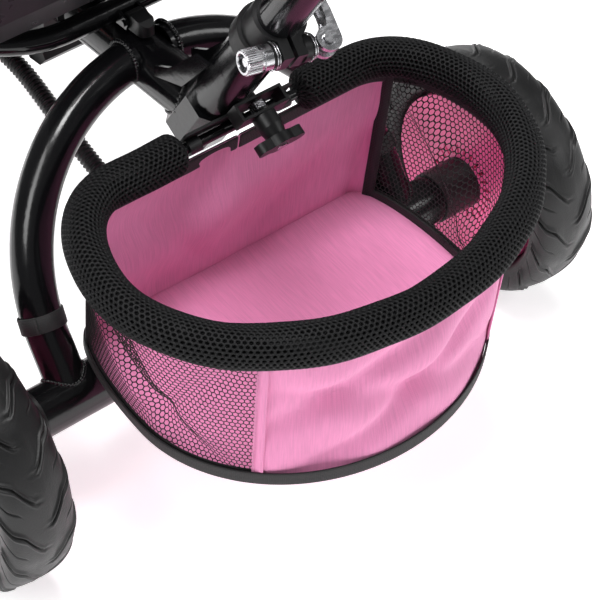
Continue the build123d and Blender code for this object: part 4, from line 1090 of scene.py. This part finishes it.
def build_harness():
    """Shoulder, waist and crotch straps that meet in a buckle on the seat."""
    for side, word in ((1, "left"), (-1, "right")):
        x = side * 0.040
        route = smooth_line([
            (x, 0.0155, 0.640), (x, 0.0070, 0.580), (x, -0.0015, 0.500), (x, -0.0135, 0.410),
            (x * 0.97, -0.026, 0.374), (x * 0.7, -0.040, 0.3650), (side * 0.017, -0.052, 0.3660),
        ], 60)
        ahead = np.gradient(route, axis=0)
        facing = np.cross((1, 0, 0), ahead) * -1
        harness_strap("shoulder_strap_" + word, route, facing)
        padded_run = slice(4, 24)
        pad_line = route[padded_run] + BACK_FRONT * 0.0022
        pad = strap("shoulder_pad_" + word, pad_line, facing[padded_run], 0.034, 0.0045, "pink", "seat")
        bevelled(pad, 0.002, 3, 30)
        waist = smooth_line([
            (side * 0.100, -0.040, 0.3625), (side * 0.070, -0.050, 0.3632),
            (side * 0.040, -0.057, 0.3645), (side * 0.018, -0.060, 0.3655),
        ], 24)
        harness_strap("waist_strap_" + word, waist, (0, 0, 1))
    crotch_route = [(0, -0.075, 0.3655), (0, -0.092, 0.3645), (0, -0.108, 0.3600), (0, -0.116, 0.3520)]
    harness_strap("crotch_strap", smooth_line(crotch_route, 24), (0, -0.2, 1))
    profile = (
        (0.0005, -0.0042), (0.0190, -0.0042), (0.0205, -0.0025), (0.0205, 0.0015), (0.0185, 0.0036),
        (0.0120, 0.0042), (0.0108, 0.0036), (0.0100, 0.0042), (0.0005, 0.0046),
    )

    def shield(turn, ring):
        return 0.0016 * cos(5 * turn) if 0 < ring < 5 else 0

    points, faces = lathe_mesh((0, -0.060, 0.3685), (0, 0, 1), profile, 60, shield)
    make_piece("harness_buckle", points, faces, "plastic", "seat", ("harness",))


# ---- canopy
BOW_PIVOT = np.array((0, 0.020, 0.640))
BOW_LEANS = (radians(-22), radians(16), radians(56))
# Each bow's half width and its height over the pivots.
BOW_SIZES = ((0.143, 0.262), (0.150, 0.318), (0.157, 0.300))
BOW_CORNER = 0.090
CLOTH_OFFSET = 0.0050
CLOTH_FOOT = 0.040


def bow_outline(lean, half, height, count):
    """Evenly spaced points over one bow, from CLOTH_FOOT above its left pivot to the same on the right."""
    half, height = half + CLOTH_OFFSET, height + CLOTH_OFFSET
    turns = np.linspace(0, pi / 2, 24)
    side, top = half - BOW_CORNER, height - BOW_CORNER
    sines, cosines = BOW_CORNER * np.sin(turns), BOW_CORNER * np.cos(turns)
    across = [half, *(side + cosines), *(-side - sines), -half]
    rise = [CLOTH_FOOT, *(top + sines), *(top + cosines), CLOTH_FOOT]
    line = np.outer(across, (1, 0, 0)) + np.outer(rise, (0, -sin(lean), cos(lean))) + BOW_PIVOT
    return even(line, count)


def build_canopy():
    """One sheet over the three bows, sagging a little between them, with bound edges."""
    across, steps = 96, 22
    bows = [bow_outline(lean, *size, across) for lean, size in zip(BOW_LEANS, BOW_SIZES)]
    points, uvs = [], []
    middle = np.array((0, -0.09, 0.72))
    for first, second, start in ((0, 1, 0), (1, 2, 1)):
        for share in np.linspace(0, 1, steps)[start:]:
            line = bows[first] * (1 - share) + bows[second] * share
            inward = middle - line
            inward /= np.linalg.norm(inward, axis=1)[:, None]
            ripple = 1 + 0.25 * np.sin(np.arange(across) * 0.55 + 3 * first)
            line = line + inward * (0.0058 * sin(pi * share) * ripple)[:, None]
            points.extend(line)
            run = along(line)
            uvs.extend((r - run[-1] / 2, (first + share) * 0.19) for r in run)
    rows = 2 * steps - 1
    faces = grid_faces(rows, across)
    cloth = make_piece("canopy_cloth", points, faces, "pink", None, ("canopy_fabric",), uvs=uvs)
    thickened(cloth, 0.0008, 1)
    grid = np.array(points).reshape(rows, across, 3)
    edges = []
    borders = {"rear": grid[0], "front": grid[-1], "left": grid[:, 0], "right": grid[:, -1]}
    for name, line in borders.items():
        edge = make_piece("canopy_edge_" + name, *tube_mesh(even(line, 90), 0.0016, 10), "webbing", None)
        edges.append(edge)
    reach, spread = 0.24, BOW_LEANS[2] - BOW_LEANS[1]
    ends = [BOW_LEANS[1] + turn for turn in (-spread, spread)]
    start, end = (BOW_PIVOT + reach * np.array((0, -sin(lean), cos(lean))) for lean in ends)
    for piece in (cloth, *edges):
        tuple(start)
        tuple(end)
        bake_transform(piece)


build_rim_pad()
build_basket()
build_tyre("rear_tyre_left", "rear_wheel_left", 0.0724)
build_tyre("rear_tyre_right", "rear_wheel_right", 0.0724)
build_tyre("front_tyre", "front_wheel", 0.092)
build_hose()
build_welds()
build_quick_release()
build_clamp_details()
build_arch_straps()
build_seat_pads()
build_harness()
build_canopy()
